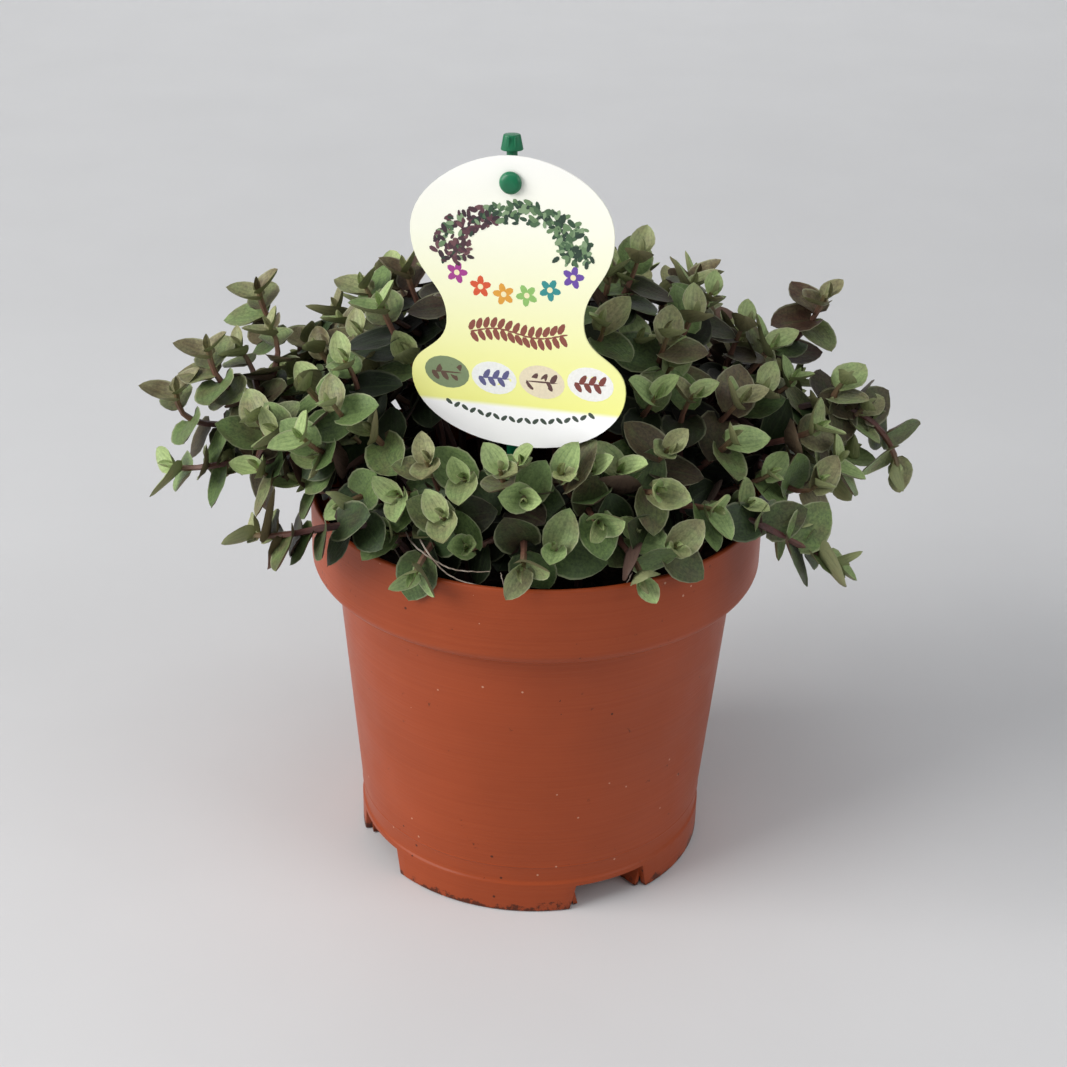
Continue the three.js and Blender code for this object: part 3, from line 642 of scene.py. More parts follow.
def swept(bm, path, radii, sides):
    """Adds a closed tube through points, with a radius at each. Returns its rings of points in order."""
    up = Vector((0, 0, 1))
    turn = Matrix.Identity(3).to_quaternion()
    rings, cap, before = [], [], None
    for k, (centre, radius) in enumerate(zip(path, radii)):
        ahead = path[min(k + 1, len(path) - 1)] - path[max(k - 1, 0)]
        turn = (turn @ up).rotation_difference(ahead) @ turn
        at = Matrix.Translation(centre) @ turn.to_matrix().to_4x4() @ Matrix.Scale(radius, 4)
        if before is None:
            made = bmesh.ops.create_circle(bm, cap_ends=True, segments=sides, radius=1, matrix=at)
            ring = made["verts"]
            cap = list({face for vert in ring for face in vert.link_faces})
        else:
            made = bmesh.ops.extrude_face_region(bm, geom=cap)
            ring = [item for item in made["geom"] if isinstance(item, bmesh.types.BMVert)]
            cap = [item for item in made["geom"] if isinstance(item, bmesh.types.BMFace)]
            bmesh.ops.transform(bm, matrix=at @ before.inverted(), verts=ring)
        rings.append(ring)
        before = at
    bmesh.ops.recalc_face_normals(bm, faces=bm.faces)
    return rings


def bevelled(bm, edges, offset, segments=2):
    """Rounds edges over."""
    bmesh.ops.bevel(
        bm,
        geom=edges,
        offset=offset,
        segments=segments,
        profile=0.5,
        affect="EDGES",
        material=-1,
        clamp_overlap=True,
    )


def foot_arc(first, span, steps):
    """One arc of the foot ring between two notches, from an angle on, whose ends lean."""
    low, high, top, edge = FOOT["inside"], FOOT["outside"], FOOT["height"], FOOT["edge"]
    section = [(low, top), (low, edge), (low + edge, 0), (high - edge, 0)]
    section += [(high, edge), (high, top), (low, top)]
    arc = spun(section, steps, span, first)
    for vert in arc.verts:
        angle = math.remainder(math.atan2(vert.co.y, vert.co.x) - first - span / 2, 2 * math.pi)
        lean = -angle / (span / 2) * NOTCH["lean"] * (1 - vert.co.z / top) / NOTCH["ring"]
        vert.co = Matrix.Rotation(lean, 3, "Z") @ vert.co
    bmesh.ops.holes_fill(arc, edges=[e for e in arc.edges if e.is_boundary])
    bmesh.ops.recalc_face_normals(arc, faces=arc.faces)
    ends = {e for f in arc.faces if len(f.verts) > 4 for e in f.edges}
    bevelled(arc, [e for e in arc.edges if e in ends and e.calc_face_angle(0) > 0.7], edge)
    return arc


def channel_wall(angle, side):
    """The thin wall at one side of a notch."""
    reach = FOOT["inside"] - CHANNEL["depth"] / 2 + CHANNEL["proud"]
    inward = Matrix.Translation((reach, 0, CHANNEL["middle"]))
    lean = Matrix.Rotation(side * NOTCH["lean"] / FOOT["height"], 4, "X")
    size = Matrix.Diagonal((CHANNEL["depth"], CHANNEL["wall"], CHANNEL["height"], 1))
    wall = bmesh.new()
    bmesh.ops.create_cube(wall, size=1, matrix=Matrix.Rotation(angle, 4, "Z") @ inward @ lean @ size)
    return wall


def build_pot():
    settings = bpy.context.scene.turtle_vine_pot
    bm = spun(rounded(POT_OUTLINE), settings.sides)
    bmesh.ops.recalc_face_normals(bm, faces=bm.faces)
    step = 2 * math.pi / NOTCH["count"]
    half = math.asin(NOTCH["half_width"] / NOTCH["ring"])
    for i in range(NOTCH["count"]):
        first = math.radians(NOTCH["first"]) + step * i + half
        span = step - 2 * half
        joined(bm, foot_arc(first, span, settings.sides // 8))
        for side in (-1, 1):
            joined(bm, channel_wall(first + span / 2 + side * (span / 2 - CHANNEL["inset"]), side))
    piece = finish_piece("pot_shell", bm, [pot_plastic()], ["pot"])
    cutter = bmesh.new()
    for i in range(DRAIN["count"]):
        turn = Matrix.Rotation(2 * math.pi * i / DRAIN["count"], 4, "Z")
        bmesh.ops.create_cone(
            cutter,
            cap_ends=True,
            segments=24,
            radius1=DRAIN["radius"],
            radius2=DRAIN["radius"],
            depth=DRAIN["depth"],
            matrix=turn @ Matrix.Translation((DRAIN["ring"], 0, DRAIN["middle"])),
        )
    cut(piece, cutter)
    smooth_by_angle(piece.data, 40)


def cut(piece, cutter):
    """Cuts a bmesh, in the pot's frame, out of a piece."""
    bmesh.ops.transform(cutter, matrix=TO_FRAME, verts=cutter.verts)
    mesh = bpy.data.meshes.new("cutter")
    cutter.to_mesh(mesh)
    cutter.free()
    tool = bpy.data.objects.new("cutter", mesh)
    bpy.context.scene.collection.objects.link(tool)
    modifier = piece.modifiers.new("cut", "BOOLEAN")
    modifier.operation = "DIFFERENCE"
    modifier.solver = "EXACT"
    modifier.use_self = True
    modifier.object = tool
    graph = bpy.context.evaluated_depsgraph_get()
    made = bpy.data.meshes.new_from_object(piece.evaluated_get(graph))
    piece.modifiers.remove(modifier)
    piece.data = made
    bpy.data.objects.remove(tool)
    bpy.data.meshes.remove(mesh)


def soil_height(x, y):
    """The height of the soil's uneven top."""
    from_axis = math.hypot(x, y) / POT_RIM
    lumps = math.sin(x * 0.31 + 1.3) * math.cos(y * 0.27) + 0.6 * math.sin(x * 0.73 + y * 0.61)
    return SOIL_TOP + SOIL_MOUND * (1 - from_axis) + 0.7 * lumps * (1 - from_axis**6) - 1.2 * from_axis**8


def build_soil():
    settings = bpy.context.scene.turtle_vine_soil
    draw = random.Random(7)
    rings = 22
    top = [(SOIL_RADIUS * (1 - k / rings), SOIL_TOP) for k in range(rings + 1)]
    bm = spun(SOIL_SIDE + top, 96)
    bmesh.ops.recalc_face_normals(bm, faces=bm.faces)
    tint = bm.verts.layers.float_color.new("tint")
    for vert in bm.verts:
        if vert.co.z > SOIL_TOP - 0.1:
            vert.co.z = soil_height(vert.co.x, vert.co.y) + draw.uniform(-0.5, 0.5)
        vert[tint] = (0.5, 0.5, 0.5, 1)
    ground = peat()
    finish_piece("potting_soil", bm, [ground], ["soil"], smooth_angle=60)
    crumbs = bmesh.new()
    tint = crumbs.verts.layers.float_color.new("tint")
    for i in range(settings.crumbs):
        radius = (SOIL_RADIUS - 1.1) * math.sqrt(draw.random())
        angle = draw.uniform(0, 2 * math.pi)
        x, y = radius * math.cos(angle), radius * math.sin(angle)
        size = draw.uniform(*CRUMB["small" if draw.random() < CRUMB["small_share"] else "large"])
        stretch = Matrix.Diagonal((*(draw.uniform(*span) for span in CRUMB["stretch"]), 1))
        turn = Matrix.Rotation(draw.uniform(0, 6.3), 4, "Z")
        turn = turn @ Matrix.Rotation(draw.uniform(-CRUMB["tilt"], CRUMB["tilt"]), 4, "X")
        at = Matrix.Translation((x, y, soil_height(x, y) + size * 0.25)) @ turn @ stretch
        made = bmesh.ops.create_icosphere(crumbs, subdivisions=1, radius=size, matrix=at)
        shade = draw.choice(CRUMB["shades"]) if draw.random() > CRUMB["pale_share"] else 1.0
        for vert in made["verts"]:
            vert.co += Vector([draw.uniform(-CRUMB["rough"], CRUMB["rough"]) * size for _ in range(3)])
            vert[tint] = (shade, shade * 0.97, shade * 0.92, 1)
    finish_piece("soil_crumbs", crumbs, [ground], smooth_angle=30)


# Label and stake


def label_matrix():
    lean, turn, roll = (math.radians(-LABEL_TILT[key]) for key in ("lean", "turn", "roll"))
    facing = Matrix.Rotation(turn, 4, "Z") @ Matrix.Rotation(lean, 4, "X") @ Matrix.Rotation(roll, 4, "Y")
    return Matrix.Translation(LABEL_PEG) @ facing


def twisted(point, back=False):
    """A point of the flat card moved as the card's slow twist below its peg moves it, or back again."""
    share = min(max(-point.z / (LABEL["height"] - LABEL["hole_drop"]), 0), 1)
    turn = math.radians(-LABEL["twist"] * share)
    return Matrix.Rotation(-turn if back else turn, 3, "Z") @ point


def label_outline(steps):
    """The card's edge as (x, height) points, clockwise from the top, with the peg's hole at the origin."""
    top, bottom = LABEL["cap"]
    knots = [(0, 0, LABEL["upper"][0] * top, 0)]
    knots += [(LABEL[key][0], LABEL[key][1], 0, LABEL[key][2]) for key in ("upper", "waist", "lower")]
    knots.append((0, LABEL["height"], LABEL["lower"][0] * bottom, 0))
    right = []
    for (x0, d0, across0, down0), (x1, d1, across1, down1) in zip(knots, knots[1:]):
        ends = [Vector((x0, d0)), Vector((x0 + across0, d0 + down0))]
        ends += [Vector((x1 + across1, d1 - down1)), Vector((x1, d1))]
        for k in range(steps):
            t = k / steps
            weights = ((1 - t) ** 3, 3 * (1 - t) ** 2 * t, 3 * (1 - t) * t**2, t**3)
            right.append(sum((w * p for w, p in zip(weights, ends)), Vector((0, 0))))
    right.append(Vector((0, LABEL["height"])))
    whole = right + [Vector((-p.x, p.y)) for p in right[-2:0:-1]]
    return [(p.x + LABEL["aside"], LABEL["hole_drop"] - p.y) for p in whole]


def half_widths():
    """Heights up the card, from its foot, and half its width at each."""
    right = sorted((z, x) for x, z in label_outline(16) if x >= 0)
    return [z for z, _ in right], [x for _, x in right]


def build_label():
    front, back = -LABEL["front"], -LABEL["front"] + LABEL["thickness"]
    bm = bmesh.new()
    loops = [label_outline(14)]
    hole = [2 * math.pi * k / 28 for k in range(28)]
    loops.append([(LABEL["hole_radius"] * math.cos(a), LABEL["hole_radius"] * math.sin(a)) for a in hole])
    edges = []
    for loop in loops:
        verts = [bm.verts.new((x, front, z)) for x, z in loop]
        edges += [bm.edges.new(pair) for pair in zip(verts, verts[1:] + verts[:1])]
    made = bmesh.ops.triangle_fill(bm, use_beauty=True, use_dissolve=False, edges=edges)
    faces = [f for f in made["geom"] if isinstance(f, bmesh.types.BMFace)]
    grown = bmesh.ops.extrude_face_region(bm, geom=faces)
    moved = [v for v in grown["geom"] if isinstance(v, bmesh.types.BMVert)]
    bmesh.ops.translate(bm, verts=moved, vec=(0, back - front, 0))
    bmesh.ops.recalc_face_normals(bm, faces=bm.faces)
    for normal, first, step, count in CARD_CUTS:
        for k in range(count):
            spot = Vector(normal) * (first + step * k)
            whole = [*bm.verts, *bm.edges, *bm.faces]
            bmesh.ops.bisect_plane(bm, geom=whole, dist=1e-5, plane_co=spot, plane_no=normal)
    card = bm.loops.layers.uv.new("card")
    bottom = LABEL["hole_drop"] - LABEL["height"]
    for face in bm.faces:
        for loop in face.loops:
            loop[card].uv = (loop.vert.co.x / 60 + 0.5, (loop.vert.co.z - bottom) / LABEL["height"])
    for vert in bm.verts:
        vert.co = twisted(vert.co)
    bmesh.ops.transform(bm, matrix=label_matrix(), verts=bm.verts)
    finish_piece("plant_label", bm, [printed_card()], ["label"], smooth_angle=40)


def mark(bm, ink, shape, x, z, size, angle, colour, layer=0):
    """Prints one small flat shape: leaf, disc or petal."""
    segments = {"leaf": 8, "disc": 20, "petal": 8}[shape]
    made = bmesh.ops.create_circle(bm, cap_ends=True, segments=segments, radius=0.5)
    width = {"leaf": 0.5, "disc": 1.0, "petal": 0.62}[shape]
    for vert in made["verts"]:
        vert.co.y *= width * (1 - 0.35 * vert.co.x) if shape == "leaf" else width
    turn = Matrix.Rotation(math.radians(angle), 4, "Z")
    front = -LABEL["front"] - 0.02 - 0.02 * layer
    lay = Matrix.Translation((x, front, z)) @ Matrix.Rotation(math.pi / 2, 4, "X") @ turn
    sizes = size if isinstance(size, tuple) else (size, size)
    lay = lay @ Matrix.Diagonal((*sizes, 1, 1))
    bmesh.ops.transform(bm, matrix=lay, verts=made["verts"])
    for face in {f for v in made["verts"] for f in v.link_faces}:
        for loop in face.loops:
            loop[ink] = rgba(colour)


def build_print():
    """The card's own generic pattern of leaves, sprigs and blossoms."""
    draw = random.Random(11)
    bm = bmesh.new()
    ink = bm.loops.layers.float_color.new("ink")
    greens = ["#34503a", "#4d6b4b", "#6d8a62", "#2b4133", "#86a07a"]
    purples = ["#4a2f38", "#5f3a44", "#38262e", "#6f4a4f"]
    # A garland of small leaves that arches across the upper lobe.
    for i in range(290):
        share = (i + 0.5) / 290
        angle = math.radians(208 - 236 * share)
        reach = draw.uniform(0.7, 1.18)
        x = 16.5 * reach * math.cos(angle) + draw.uniform(-0.8, 0.8)
        z = -15.2 + 8.6 * reach * math.sin(angle) + draw.uniform(-0.8, 0.8)
        colour = draw.choice(purples if share < 0.42 and draw.random() < 0.8 else greens)
        mark(bm, ink, "leaf", x, z, draw.uniform(1.5, 2.7), draw.uniform(0, 360), colour, i % 5)
    # Blossoms below it, in a row that sinks in the middle.
    petals = ["#a63a8e", "#d9562f", "#e2a13a", "#8fc06a", "#2f8f8f", "#6a4aa5"]
    for i, colour in enumerate(petals):
        x = -14.5 + 5.8 * i
        z = -27.2 + 0.024 * x * x
        for petal in range(5):
            angle = 72 * petal + 15 * i
            px, pz = x + 1.45 * math.cos(math.radians(angle)), z + 1.45 * math.sin(math.radians(angle))
            mark(bm, ink, "petal", px, pz, 2.7, angle, colour)
        mark(bm, ink, "disc", x, z, 1.4, 0, "#f6edc0", 1)
    # A long sprig across the waist.
    for i in range(13):
        x = -11.4 + 1.9 * i
        z = -36.5 + 0.9 * math.sin(i * 0.55)
        mark(bm, ink, "leaf", x, z + 1.5, 3.1, 62 + 6 * math.sin(i), "#8a4a3c")
        mark(bm, ink, "leaf", x + 0.5, z - 1.5, 3.1, -62 + 6 * math.cos(i), "#8a4a3c")
        mark(bm, ink, "petal", x + 0.5, z, (2.3, 0.7), 10 * math.cos(i * 0.55), "#8a4a3c", 1)
    # Four pale ovals in a row, each with a leafy twig.
    tones = [("#7c8d68", "#5d4638"), ("#eef0ee", "#5b5a86"), ("#e8dcc0", "#5a3b38"), ("#f1f1ee", "#7a3b33")]
    for i, (ground, twig) in enumerate(tones):
        x, z = -18.9 + 12.5 * i, -48.4 + 0.5 * abs(i - 1.5)
        mark(bm, ink, "disc", x, z, (11.9, 8.2), -6, ground)
        for k in range(6):
            angle = 55 if k % 2 else -55
            mark(bm, ink, "leaf", x - 3.1 + 1.25 * k, z + (0.95 if k % 2 else -0.95), 2.9, angle, twig, 1)
        mark(bm, ink, "petal", x, z, (8.4, 0.7), 0, twig, 2)
    # A border of small leaves follows the foot of the card.
    for i in range(19):
        x = -18.9 + 2.1 * i
        z = -58.4 + 0.0085 * x * x
        mark(bm, ink, "leaf", x, z, 2.1, 38 if i % 2 else -38, "#3c4a40")
    bmesh.ops.solidify(bm, geom=bm.faces, thickness=0.03)
    bmesh.ops.recalc_face_normals(bm, faces=bm.faces)
    for vert in bm.verts:
        vert.co = twisted(vert.co)
    bmesh.ops.transform(bm, matrix=label_matrix(), verts=bm.verts)
    finish_piece("label_print", bm, [printing_ink()])


def build_stake():
    settings = bpy.context.scene.turtle_vine_stake
    head = LABEL_PEG + Vector((0, STAKE_BEHIND, 0))
    axis = (head - STAKE_FOOT).normalized()
    neck = (LABEL_PEG - STAKE_FOOT).length + STAKE_ROD["over_peg"]
    radius, waist = settings.radius / MM, STAKE_ROD["waist_radius"]
    low, top = neck + STAKE_NIB["low"], neck + STAKE_NIB["top"]
    rod = [(0, 0, 0), (radius, STAKE_ROD["point"], 0.4), (radius, neck - STAKE_ROD["shoulder"], 0.5)]
    rod += [(waist, neck - STAKE_ROD["waist"], 0.3), (waist, top - 1, 0), (0, top - 1, 0)]
    bm = spun(rounded(rod), 32)
    # The nib is a flattened cone with two ribs on its front and two on its back.
    wide, narrow = STAKE_NIB["radius"], STAKE_NIB["top_radius"]
    nib = spun(rounded([(0, low, 0), (wide, low, 0.25), (narrow, top, 0.3), (0, top, 0)]), 32)
    bmesh.ops.scale(nib, vec=(1, STAKE_NIB["flatness"], 1), verts=nib.verts)
    size = Matrix.Diagonal((STAKE_RIB["width"], STAKE_RIB["depth"], top - low - STAKE_RIB["short"], 1))
    for x, y in ((-1, -1), (1, -1), (-1, 1), (1, 1)):
        at = Matrix.Translation((x * STAKE_RIB["across"], y * STAKE_RIB["out"], (low + top) / 2))
        at = at @ Matrix.Rotation(-y * STAKE_RIB["lean"], 4, "X")
        made = bmesh.ops.create_cube(nib, size=1, matrix=at @ size)
        bevelled(nib, list({e for v in made["verts"] for e in v.link_edges}), STAKE_RIB["edge"])
    joined(bm, nib)
    bmesh.ops.recalc_face_normals(bm, faces=bm.faces)
    stand = Matrix.Translation(STAKE_FOOT) @ Vector((0, 0, 1)).rotation_difference(axis).to_matrix().to_4x4()
    bmesh.ops.transform(bm, matrix=stand, verts=bm.verts)
    pin = spun(rounded(PEG_OUTLINE), 32)
    bmesh.ops.recalc_face_normals(pin, faces=pin.faces)
    bmesh.ops.transform(pin, matrix=label_matrix() @ Matrix.Rotation(math.pi / 2, 4, "X"), verts=pin.verts)
    joined(bm, pin)
    finish_piece("label_stake", bm, [stake_plastic()], ["stake"], smooth_angle=35)


# Foliage


class Stem:
    """A stem's centre line through four control points, read by the share of its length."""

    def __init__(self, points, steps):
        t = np.linspace(0, 1, 161)[:, None]
        a, b, c, d = (np.array(p, float) for p in points)
        self.line = (1 - t) ** 3 * a + 3 * (1 - t) ** 2 * t * b + 3 * (1 - t) * t**2 * c + t**3 * d
        slope = 3 * ((1 - t) ** 2 * (b - a) + 2 * (1 - t) * t * (c - b) + t**2 * (d - c))
        self.slope = slope / np.linalg.norm(slope, axis=1)[:, None]
        self.reach = np.concatenate([[0], np.cumsum(np.linalg.norm(np.diff(self.line, axis=0), axis=1))])
        self.length = float(self.reach[-1])
        self.steps = steps

    def _read(self, table, share):
        return Vector([float(np.interp(share * self.length, self.reach, table[:, k])) for k in range(3)])

    def at(self, share):
        return self._read(self.line, share)

    def along(self, share):
        return self._read(self.slope, share).normalized()

    def straight_at(self, share):
        """The point on the straight runs between the steps of the solids' stem."""
        step = min(int(share * self.steps), self.steps - 1)
        return self.at(step / self.steps).lerp(self.at((step + 1) / self.steps), share * self.steps - step)


def on_dome(polar, azimuth, scale):
    p, a = math.radians(polar), math.radians(azimuth)
    out = Vector((math.sin(p) * math.cos(a), math.sin(p) * math.sin(a), math.cos(p)))
    point = Vector((out.x * DOME["radius"], out.y * DOME["radius"], out.z * DOME["height"])) * scale
    point.z += DOME["centre"]
    return point, out


def azimuth_of(point):
    return math.degrees(math.atan2(point[1], point[0]))


def from_label(azimuth):
    return (azimuth - LABEL_AZIMUTH) % 360


def ring_vines():
    """The ring vines' shoots, two to a vine."""
    vines, index = [], 0
    for row, (ring_polar, count, root, opening) in enumerate(RINGS):
        shoots = []
        for i in range(count):
            index += 1
            azimuth = 360 / count * (i + 0.5 * row + SPREAD["azimuth"] * swing(index, 1))
            polar = ring_polar + SPREAD["polar"] * swing(index, 2)
            scale = 1 + SPREAD["radius"] * swing(index, 3)
            if 180 - abs(180 - from_label(azimuth)) < opening:
                continue
            point, out = on_dome(polar, azimuth, scale)
            shoot = dict(index=index, azimuth=azimuth, polar=polar, tip=point, out=out)
            shoots.append(dict(shoot, leaves=SHOOT_LEAVES))
        shoots.sort(key=lambda shoot: from_label(shoot["azimuth"]))
        for i in range(0, len(shoots), 2):
            pair = shoots[i : i + 2]
            middle = sum((shoot["out"] for shoot in pair), Vector())
            middle.z = 0
            vines.append((f"vine_{row + 1}_{i // 2 + 1}", middle.normalized() * root, pair))
    return vines


def front_vines():
    vines = []
    for i, (root, tips) in enumerate(FRONT_VINES):
        shoots = []
        for order, tip in enumerate(tips):
            azimuth = azimuth_of(tip)
            rise = min(max((tip[2] - DOME["centre"]) / DOME["height"], 0), 1)
            polar = math.degrees(math.acos(rise))
            out = on_dome(polar, azimuth, 1)[1]
            index = FIRST_INDEX["front"] + 2 * i + order
            shoot = dict(index=index, azimuth=azimuth, polar=polar, tip=Vector(tip), out=out)
            shoots.append(dict(shoot, leaves=FRONT_LEAVES))
        vines.append((f"vine_front_{i + 1}", Vector((*root, 0)), shoots))
    return vines


def turned_point(point, angle):
    return Matrix.Rotation(math.radians(angle), 3, "Z") @ Vector(point)


def turned_stem(points, angle, steps):
    return Stem([turned_point(point, angle) for point in points], steps)


def facing_of(out):
    return Vector((out.x, out.y, out.z + STEM["tilt"])).normalized()


def vine_stems(root, shoots, nudge):
    """The stem of each of a vine's shoots, the first from the root and the second from the first."""
    base = Vector((root.x, root.y, SOIL_TOP - STEM["bury"]))
    stems = []
    for order, shoot in enumerate(shoots):
        lead = shoot["tip"] - facing_of(shoot["out"]) * (FORK["lead"] if order else STEM["lead"])
        if shoot["polar"] > OVER_RIM["polar"]:
            lead.z = max(lead.z, OVER_RIM["height"])
        if order:
            fork = stems[0].straight_at(FORK["from"])
            onward = fork + stems[0].along(FORK["from"]) * FORK["lead"] / 2
            points = [turned_point(fork, -nudge), turned_point(onward, -nudge), lead, shoot["tip"]]
            stems.append(turned_stem(points, nudge, FORK["steps"]))
        else:
            rise = Vector((base.x, base.y, SOIL_TOP + STEM["rise"]))
            stems.append(turned_stem([base, rise, lead, shoot["tip"]], nudge, STEM["steps"]))
    return stems


def leaf_turn(stem, azimuth, index, order, bend, at=None):
    """A leaf's place: its base on the stem, +X along the blade and +Z off its upper face. An order half way
    between two whole numbers is a leaf between those two."""
    down = float(np.interp(order, range(len(NODES_DOWN)), NODES_DOWN))
    share = max(SOLID_LEAF["lowest"], 1 - down / stem.length) if at is None else at
    tangent = stem.along(share)
    a = math.radians(azimuth)
    aside = Vector((-math.sin(a), math.cos(a), 0))
    aside = (aside - tangent * aside.dot(tangent)).normalized()
    leaf = index * 10 + order
    turn = 360 * chance(index, 5) + TURN["leaf"] * order + TURN["pair"] * (order // 2)
    turn += TURN["wobble"] * swing(leaf, 6) + bend[1]
    outward = Matrix.Rotation(math.radians(turn), 3, tangent) @ aside
    rise = math.radians(LEAF_RISE[int(order)] + bend[0] + SPREAD["rise"] * swing(leaf, 7))
    forward = outward * math.cos(rise) + tangent * math.sin(rise)
    upper = -outward * math.sin(rise) + tangent * math.cos(rise)
    side = upper.cross(forward)
    rotation = Matrix((forward, side, upper)).transposed()
    return share, rotation


def toward_light(rotation, pull):
    """A leaf's turn with its upper face brought part of the way to the light."""
    upper = rotation.col[2]
    goal = (upper + TO_LIGHT * pull).normalized()
    return upper.rotation_difference(goal).to_matrix() @ rotation


def solid_leaves(tree, stem, shoot):
    """The bend that each of a shoot's leaves took in the solid, and which of two sizes it has."""
    found = []
    for order in range(shoot["leaves"]):
        leaf = shoot["index"] * 10 + order
        full = SOLID_LEAF["length"] * LEAF_SCALE[order] * (1 + SPREAD["length"] * swing(leaf, 8))
        best = (1e9, (0, 0), 1.0)
        for bend in BENDS:
            share, rotation = leaf_turn(stem, shoot["azimuth"], shoot["index"], order, bend)
            base = stem.straight_at(share)
            for size in (1.0, SMALLER):
                length = full * size
                tip = Vector((length, 0, -SOLID_LEAF["droop"] * length))
                side = length * SOLID_LEAF["half_width"]
                lift = length * (SOLID_LEAF["cup"] - SOLID_LEAF["droop"] * SOLID_LEAF["widest"] ** 2)
                spots = [tip, *(Vector((length * SOLID_LEAF["widest"], y, lift)) for y in (side, -side))]
                miss = sum(tree.find_nearest(TO_FRAME @ (base + rotation @ spot))[3] for spot in spots) / MM
                if miss < best[0] - 0.02:
                    best = (miss, bend, size)
        found.append(best)
    return found


class Garden:
    """The leaves already grown, so that the next ones can be bent clear of them."""

    def __init__(self):
        self.cells = {}
        self.to_label = label_matrix().inverted()
        self.heights, self.widths = half_widths()
        top = LABEL_PEG + Vector((0, STAKE_BEHIND, 0))
        self.stake = (STAKE_FOOT, top - STAKE_FOOT)

    def _near(self, centre):
        x, y, z = (int(c // CELL) for c in centre)
        for i in (x - 1, x, x + 1):
            for j in (y - 1, y, y + 1):
                for k in (z - 1, z, z + 1):
                    yield from self.cells.get((i, j, k), ())

    def crossings(self, blade, centre, own):
        return sum(1 for key, tree in self._near(centre) if key != own and tree.overlap(blade))

    def add(self, blade, centre, key):
        cell = tuple(int(c // CELL) for c in centre)
        self.cells.setdefault(cell, []).append((key, blade))

    def blocked(self, points):
        """Whether a leaf would cross the label, the space in front of it, the stake, the pot or the soil."""
        outside = inside = False
        sides = set()
        for point in points:
            local = twisted(self.to_label @ point, back=True)
            if -READING["depth"] < local.y < CLEAR["behind_card"]:
                height = local.z + READING["rise"] * min(local.y, 0)
                half = np.interp(height, self.heights, self.widths, left=-1, right=-1)
                if abs(local.x) < half + CLEAR["card_edge"]:
                    if local.y < CLEAR["before_card"]:
                        return True
                    sides.add(local.y > 0)
            foot, run = self.stake
            share = min(max((point - foot).dot(run) / run.dot(run), 0), CLEAR["stake_share"])
            if (point - foot - run * share).length < CLEAR["stake"]:
                return True
            r = math.hypot(point.x, point.y)
            if point.z < POT_HEIGHT + CLEAR["rim_top"]:
                if POT_RIM - POT_WALL - CLEAR["rim"] < r < POT_RIM + CLEAR["rim"]:
                    return True
                outside |= r > POT_RIM
                inside |= r < POT_RIM
            if r < POT_RIM - POT_WALL and point.z < soil_height(point.x, point.y) + CLEAR["soil"]:
                return True
        return outside and inside


# A leaf's rows from its base to its tip: how far along, and how wide as a share of its greatest width.
BLADE_ROWS = [(0, 0.5), (0.07, 0.82), (0.21, 0.98), (0.4, 1), (0.58, 0.89), (0.76, 0.66), (0.9, 0.36), (1, 0)]
# Shapes of leaf, each as the roll of its section at its base and beyond, in radians from the middle to the
# margin, how far its tip droops and how wavy it is.
BLADES = {
    "bud": [(2.6, 1.9, -0.1, 0)],
    "young": [(1.7, 0.75, -0.1, 0.2), (1.5, 0.6, -0.06, 0.3), (1.8, 0.85, -0.13, 0.2)],
    "grown": [(1.1, 0.25, 0.06, 0.3), (0.9, 0.14, 0.1, 0.4), (1.3, 0.38, 0.02, 0.3)],
    "old": [(0.8, 0.1, 0.1, 0.5), (0.6, 0.04, 0.14, 0.6), (0.9, 0.2, 0.06, 0.4)],
}


def blade_point(along, across, base_roll, roll, droop, wave):
    """A point of a leaf one long, where along runs 0 to 1 and across -1 to 1."""
    width = float(np.interp(along, [a for a, _ in BLADE_ROWS], [w for _, w in BLADE_ROWS]))
    half = width * bpy.context.scene.turtle_vine_plant.leaf_width / 2
    turn = roll + (base_roll - roll) * max(0.0, 1 - along / 0.5) ** 1.4
    y = half * math.sin(turn * across) / turn
    z = half * (1 - math.cos(turn * across)) / turn
    lobe = 0.09 * abs(across) ** 1.5 * max(0.0, 1 - along / 0.27)
    z += 0.025 * wave * math.sin(along * 8) * across - droop * along**2
    return Vector((along - lobe, y, z))


def blade_mesh(name, base_roll, roll, droop, wave):
    """A leaf one long as a closed fleshy blade that thins out to its margin, with its upper face in front."""
    plant = bpy.context.scene.turtle_vine_plant
    bm = bmesh.new()
    blade = bm.verts.layers.float_color.new("blade")
    steps = len(BLADE_ROWS) - 1
    bmesh.ops.create_grid(bm, x_segments=steps, y_segments=4, size=0.5)
    spots = {v: (BLADE_ROWS[round((v.co.x + 0.5) * steps)][0], v.co.y * 2) for v in bm.verts}
    copied = bmesh.ops.duplicate(bm, geom=list(bm.faces))
    under = [f for f in copied["geom"] if isinstance(f, bmesh.types.BMFace)]
    spots.update({copied["vert_map"][v]: spot for v, spot in list(spots.items()) if v in copied["vert_map"]})
    lower = {v for f in under for v in f.verts}
    for vert, (along, across) in spots.items():
        vert.co = blade_point(along, across, base_roll, roll, droop, wave)
        vert[blade] = (abs(across), along, 0, 0)
        if vert in lower and abs(across) < 0.99 and 0 < along < 1:
            vert.co.z -= plant.leaf_thickness / plant.leaf_length
    for face in under:
        face.material_index = 1
    bmesh.ops.remove_doubles(bm, verts=bm.verts, dist=1e-5)
    bmesh.ops.recalc_face_normals(bm, faces=bm.faces)
    for face in bm.faces:
        face.smooth = True
    mesh = bpy.data.meshes.new(name)
    bm.to_mesh(mesh)
    bm.free()
    return mesh


